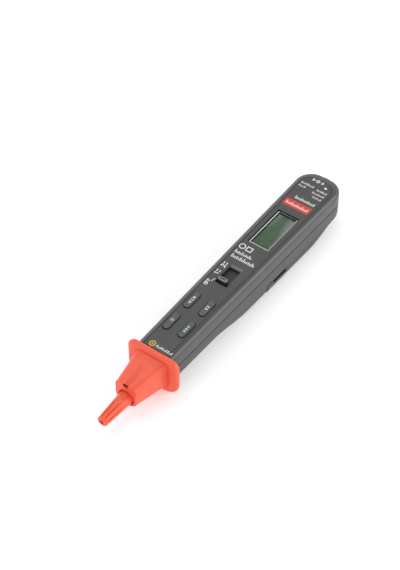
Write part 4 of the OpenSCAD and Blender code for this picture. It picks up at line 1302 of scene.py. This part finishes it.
def clear_plastic(name, value, rough=0.04, index=1.49):
    """Clear plastic with a trace of colour and faint unevenness. A low index stands for a coated face."""
    material, tree, shader = new_material(name)
    wave = noise(tree, 150, 2)
    feed(shader, {"Base Color": ramp(tree, wave, [(0.3, shade(value, 0.97)), (0.7, value)]),
                  "Roughness": spread(tree, wave, rough, rough + 0.04),
                  "Transmission Weight": 1, "IOR": index})
    return material


def display_glass(value):
    """Unlit display with a painted reflection: a dark field that narrows towards the socket end, between
    lighter bands of painted reflection.

    The ramp spans -0.12 to 0.75 of |174 y - 0.13| + u, with y in metres and u from -0.95 at the
    window's tip end to -0.15 at its other end."""
    material, tree, shader = new_material("display_green")
    place = add_node(tree, "SeparateXYZ", {"Vector": place_on_object(tree)}).outputs
    across = add_node(tree, "Math", {0: place["Y"], 1: 174, 2: -0.13})
    across.operation = "MULTIPLY_ADD"
    size = add_node(tree, "Math", {0: across.outputs[0]})
    size.operation = "ABSOLUTE"
    along = spread(tree, place["X"], -0.95, -0.15, 0.0321, 0.0589)
    both = add_node(tree, "Math", {0: size.outputs[0], 1: along})
    # The lighter colour of the painted reflection
    light = tuple(part * 1.2 + 0.22 for part in value)
    stops = [(0.0, value), (0.16, shade(value, 1.1)), (0.36, shade(light, 0.62)), (1.0, light)]
    fine = noise(tree, 9000, 1)
    feed(shader, {"Base Color": ramp(tree, spread(tree, both.outputs[0], 0, 1, -0.12, 0.75), stops),
                  "Roughness": spread(tree, fine, 0.3, 0.4), "Specular IOR Level": 0.1})
    bump(tree, shader, fine, 0.000001)
    return material


def circuit_board(value):
    """Solder mask over rows of copper tracks, which show as slightly raised lighter lines."""
    material, tree, shader = new_material("board_green")
    tracks = add_node(tree, "TexBrick", {
        "Vector": place_on_object(tree), "Scale": 260, "Mortar Size": 0.06, "Color1": (*value, 1),
        "Color2": (*shade(value, 0.85), 1), "Mortar": (*shade(value, 2.0), 1)}).outputs
    feed(shader, {"Base Color": tracks["Color"], "Roughness": spread(tree, noise(tree, 500, 2), 0.25, 0.4)})
    bump(tree, shader, tracks["Fac"], 0.00003)
    return material


# Materials by the name of their finish, filled by the first operator
FINISHES = {}


def make_finishes(values):
    """All finishes of the pen, by name.

    The rows of figures are variation, grain per metre and depth in metres."""
    satin = (0.04, 3000, 0.000006)
    glint_grain = (3000, 0.000004)
    printed = (0.04, 6000, 0.000003)
    FINISHES.update({
        "case": moulded("body_grey", values.case, (0.36, 0.48)),
        # Lighter copies of the case grey as painted highlight on the slot's slope
        "slope": moulded("slot_slope", shade(values.case, 2.3), (0.34, 0.44)),
        "slope_side_light": moulded("slot_side", shade(values.case, 1.35), (0.34, 0.44)),
        "guard": moulded("guard_red", values.guard, (0.34, 0.46), *satin),
        # Darker red as painted shade in the crease between nose and flange
        "crease": moulded("guard_crease", (0.70, 0.036, 0.013), (0.4, 0.5), *satin),
        "deep": moulded("torch_shade", (0.26, 0.006, 0.004), (0.5, 0.6)),
        "key": moulded("key_blue", values.key, (0.34, 0.44), 0.05, 5000, 0.000005),
        "rubber": moulded("key_skirt", (0.008, 0.008, 0.009), (0.6, 0.75), 0.1, 3000, 0.00001),
        # Dark as painted shade on the knob's sides and deck; light as painted highlight on its upper edge
        "slider": moulded("slider_dark", (0.022, 0.022, 0.022), (0.4, 0.52)),
        "slider_rim": moulded("slider_rim", (0.24, 0.24, 0.23), (0.42, 0.52)),
        "nylon": moulded("dark_nylon", (0.03, 0.03, 0.03), (0.5, 0.62)),
        # Black of the insulator, also painted shade in the case's and door's seams, grooves, walls and
        # pockets
        "black": moulded("socket_black", (0.012, 0.012, 0.012), (0.38, 0.5)),
        "lens": clear_plastic("lens_clear", (0.97, 0.99, 0.98), index=1.33),
        # Pale and mid greens as painted highlight on the lens's edges
        "lens_edge": moulded("lens_edge", (0.90, 0.93, 0.88), (0.2, 0.3), 0.05, *glint_grain),
        "lens_side": moulded("lens_side", (0.38, 0.46, 0.40), (0.3, 0.4), 0.15, *glint_grain),
        "led": clear_plastic("led_clear", (0.9, 0.95, 1.0), 0.08),
        "display": display_glass(values.display),
        "display_rim": moulded("display_rim", (0.01, 0.012, 0.011), (0.25, 0.35)),
        "board": circuit_board(values.board),
        "chip": moulded("chip_black", (0.014, 0.014, 0.015), (0.5, 0.65), 0.15, 2500, 0.000008),
        "strip": moulded("contact_rubber", (0.02, 0.02, 0.02), (0.6, 0.75), 0.2, 2000, 0.00001),
        "spring": metal("contact_steel", (0.62, 0.61, 0.58), stretch=(0.1, 1, 1)),
        "cell": metal("cell_steel", (0.60, 0.59, 0.56), (0.22, 0.4), (1, 1, 0.2)),
        "screw": metal("screw_steel", (0.45, 0.45, 0.46), (0.25, 0.4)),
        "pin": metal("pin_steel", (0.66, 0.66, 0.66), (0.15, 0.25), (1, 0.1, 0.1)),
        "brass": metal("contact_brass", (0.72, 0.50, 0.21), (0.18, 0.32), (1, 0.15, 0.15)),
        "white": moulded("print_white", values.paint, (0.45, 0.6), *printed),
        "key_white": moulded("key_white", shade(values.paint, 0.72), (0.45, 0.6), *printed),
        "badge": moulded("print_red", values.badge, (0.4, 0.5), *printed),
        "yellow": moulded("print_yellow", (0.62, 0.36, 0.05), (0.45, 0.55), 0.05, 6000, 0.000003),
    })


# Finishes of the solids that stay as they are
CARRIED = {
    "pin_guide": "nylon", "pin_carrier": "nylon", "torch_led": "led", "display_holder": "nylon",
    "zebra_strips": "strip", "main_board": "board", "processor": "chip", "buzzer": "chip",
    "input_resistor": "chip", "crystal": "spring", "capacitors": "chip", "key_domes": "spring",
    "switch_pads": "brass", "slider_wiper": "brass", "socket_tab": "brass", "pin_contact": "brass",
    "coin_cell": "cell", "cell_contact_plus": "spring", "cell_contact_minus": "spring",
    "probe_pin": "pin", "door_screw": "screw", "case_screws": "screw"}


class PenOperator:
    """Shared part of the operators below, which build their pieces from the sizes on the scene."""
    bl_options = {"REGISTER", "UNDO"}

    def execute(self, context):
        self.build(sizes(context))
        return {"FINISHED"}


class PEN_OT_finishes(PenOperator, bpy.types.Operator):
    """Makes the finishes and gives them to the solids that stay as they are"""
    bl_idname = "pen.finishes"
    bl_label = "Finishes"

    def execute(self, context):
        values = context.scene.pen_colours
        make_finishes(SimpleNamespace(**{
            key: tuple(getattr(values, key)) for key in PenColours.__annotations__}))
        for node, finish in CARRIED.items():
            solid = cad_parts[node]
            solid.data.materials.clear()
            solid.data.materials.append(FINISHES[finish])
        return {"FINISHED"}


class PEN_OT_case(PenOperator, bpy.types.Operator):
    """Builds the two case halves and the battery door"""
    bl_idname = "pen.case"
    bl_label = "Case and door"

    def build(self, s):
        # Plain grey, black as painted shade, and two lighter greys as painted highlight on the slot's slope
        grey = ("case", "black", "slope", "slope_side_light")
        front = make_piece("case_front_shell", front_case_shape(s), grey, ("front_case",),
                           cutter=socket_cutter(s))
        add_collar(s, front, True)
        rear = make_piece("case_rear_shell", rear_case_shape(s), grey, ("rear_case",),
                          cutter=rear_cutter(s))
        add_collar(s, rear, False)
        make_piece("battery_door_shell", door_shape(s), grey[:2], ("battery_door",),
                   cutter=door_cutter(s))


class PEN_OT_guard(PenOperator, bpy.types.Operator):
    """Builds the finger guard"""
    bl_idname = "pen.guard"
    bl_label = "Finger guard"

    def build(self, s):
        make_piece("finger_guard_shell", guard_shape(s), ("guard", "deep", "crease"),
                   ("finger_guard",), angle=50, cutter=torch_cutter(s))


class PEN_OT_sleeve(PenOperator, bpy.types.Operator):
    """Builds the fluted twist sleeve"""
    bl_idname = "pen.sleeve"
    bl_label = "Twist sleeve"

    def build(self, s):
        make_piece("twist_sleeve", sleeve_shape(s), ("guard",), ("tip_sleeve",), "sleeve", 50)


class PEN_OT_keys(PenOperator, bpy.types.Operator):
    """Builds the four key caps"""
    bl_idname = "pen.keys"
    bl_label = "Keys"

    def build(self, s):
        for node, x, y, body in key_places(s):
            make_piece(node + "_cap", key_shape(s, x, y), ("key", "rubber"), (node,), body)


class PEN_OT_slider(PenOperator, bpy.types.Operator):
    """Builds the switch knob on its deck"""
    bl_idname = "pen.slider"
    bl_label = "Slide switch"

    def build(self, s):
        make_piece("switch_knob", slider_shape(s), ("slider", "slider_rim", "case"),
                   ("mode_slider",), "slider")


class PEN_OT_window(PenOperator, bpy.types.Operator):
    """Builds the clear window and the display glass"""
    bl_idname = "pen.window"
    bl_label = "Window and display"

    def build(self, s):
        # Lens edges are painted highlights, the tip end's in the print's white; black for the flange under
        # the face
        make_piece("window_pane", lens_shape(s), ("lens", "lens_edge", "black", "lens_side", "white"),
                   ("window_lens",), angle=25)
        make_piece("display_panel", display_shape(s), ("display", "display_rim"),
                   ("display_glass",))


class PEN_OT_socket(PenOperator, bpy.types.Operator):
    """Builds the brass tube and its insulator"""
    bl_idname = "pen.socket"
    bl_label = "Socket"

    def build(self, s):
        make_piece("socket_brass", socket_tube_shape(s), ("brass",), ("socket_tube",))
        make_piece("socket_ring", insulator_shape(s), ("black",), ("socket_insulator",))


class PEN_OT_print(PenOperator, bpy.types.Operator):
    """Builds the print: panel marks, badge, round sign and key signs"""
    bl_idname = "pen.print"
    bl_label = "Print"

    def build(self, s):
        make_piece("panel_print", panel_print_shape(s), ("white",))
        make_piece("badge_print", badge_print_shape(s), ("badge",))
        make_piece("sign_print", sign_print_shape(s), ("yellow",))
        for node, x, y, body in key_places(s):
            make_piece(node + "_print", key_print_shape(s, node, x, y), ("key_white",),
                       body=body)


class PEN_OT_stage(PenOperator, bpy.types.Operator):
    """Sets up the floor, the lamps and the camera"""
    bl_idname = "pen.stage"
    bl_label = "Stage"

    def execute(self, context):
        settings = context.scene.pen_stage
        context.scene.view_settings.view_transform = "Standard"
        make_floor(tuple(settings.floor))
        make_world(settings.horizon, settings.overhead)
        add_lamp("side_light", (0.60, -0.82, 0.45), 0.5, settings.key_power)
        add_lamp("top_light", (0.05, 0.30, 1.15), 0.8, settings.top_power)
        add_camera(settings.focal)
        return {"FINISHED"}


def make_floor(value):
    """White light table at z = 0: lit from above and glowing faintly, so that the shadow stays pale."""
    mesh = bpy.data.meshes.new("floor")
    mesh.from_pydata([(-4, -4, 0), (4, -4, 0), (4, 4, 0), (-4, 4, 0)], [], [(0, 1, 2, 3)])
    floor = bpy.data.objects.new("floor", mesh)
    bpy.context.scene.collection.objects.link(floor)
    material, tree, shader = new_material("floor_white")
    clouds = ramp(tree, noise(tree, 2, 1), [(0.3, shade(value, 0.995)), (0.7, value)])
    feed(shader, {"Base Color": clouds, "Roughness": 0.9, "Specular IOR Level": 0})
    glow = add_node(tree, "Emission", {"Color": (1, 1, 1, 1), "Strength": 0.3})
    both = add_node(tree, "AddShader", {0: shader.outputs["BSDF"], 1: glow.outputs["Emission"]})
    feed(tree.nodes["Material Output"], {"Surface": both.outputs["Shader"]})
    mesh.materials.append(material)


def make_world(horizon, overhead):
    """White surroundings: bright near the horizon, dimmer overhead, and plain white to the camera."""
    world = bpy.data.worlds.new("surroundings")
    bpy.context.scene.world = world
    world.use_nodes = True
    tree = world.node_tree
    height = add_node(tree, "SeparateXYZ", {"Vector": add_node(tree, "TexCoord").outputs["Generated"]})
    sky = spread(tree, height.outputs["Z"], horizon, overhead, 0.34, 0.80)
    seen = add_node(tree, "LightPath").outputs["Is Camera Ray"]
    mix = add_node(tree, "Mix", {"Factor": seen, "A": sky, "B": 1})
    feed(tree.nodes["Background"], {"Color": (0.97, 0.985, 1.0, 1), "Strength": mix.outputs["Result"]})


def add_lamp(name, place, size, power):
    """Square area lamp aimed at the middle of the pen's place on the table."""
    data = bpy.data.lights.new(name, "AREA")
    data.energy = power
    data.size = size
    lamp = bpy.data.objects.new(name, data)
    lamp.location = place
    lamp.rotation_euler = (-Vector(place)).to_track_quat("-Z", "Y").to_euler()
    bpy.context.scene.collection.objects.link(lamp)


def add_camera(focal):
    """Camera at the photograph's place, level, with the focal length on the image's height."""
    data = bpy.data.cameras.new("camera")
    data.sensor_fit = "VERTICAL"
    data.sensor_height = 36
    data.lens = focal
    camera = bpy.data.objects.new("camera", data)
    camera.location = (-0.4058, -0.2869, 0.5681)
    pitch = np.radians(47.718)
    yaw = np.radians(36.495)
    forward = Vector((np.cos(pitch) * np.cos(yaw), np.cos(pitch) * np.sin(yaw), -np.sin(pitch)))
    camera.rotation_euler = forward.to_track_quat("-Z", "Y").to_euler()
    bpy.context.scene.collection.objects.link(camera)
    bpy.context.scene.camera = camera


# The operators in the order in which they run
STEPS = ("finishes", "case", "guard", "sleeve", "keys", "slider", "window", "socket", "print", "stage")


class PEN_PT_panel(bpy.types.Panel):
    """Lists the steps that build the pen"""
    bl_label = "Pen meter"
    bl_idname = "PEN_PT_panel"
    bl_space_type = "VIEW_3D"
    bl_region_type = "UI"
    bl_category = "Pen meter"

    def draw(self, context):
        for step in STEPS:
            self.layout.operator("pen." + step)


CLASSES = (
    *SETTINGS.values(), PEN_OT_finishes, PEN_OT_case, PEN_OT_guard, PEN_OT_sleeve, PEN_OT_keys,
    PEN_OT_slider, PEN_OT_window, PEN_OT_socket, PEN_OT_print, PEN_OT_stage, PEN_PT_panel)


def register():
    """Registers the classes and puts the property groups on the scene."""
    for kind in CLASSES:
        bpy.utils.register_class(kind)
    for label, kind in SETTINGS.items():
        setattr(bpy.types.Scene, "pen_" + label, PointerProperty(type=kind))


def unregister():
    """Takes the property groups and classes away again."""
    for label in SETTINGS:
        delattr(bpy.types.Scene, "pen_" + label)
    for kind in reversed(CLASSES):
        bpy.utils.unregister_class(kind)


def main():
    register()
    for step in STEPS:
        getattr(bpy.ops.pen, step)()
    bpy.context.view_layer.update()


if __name__ == "__main__":
    main()
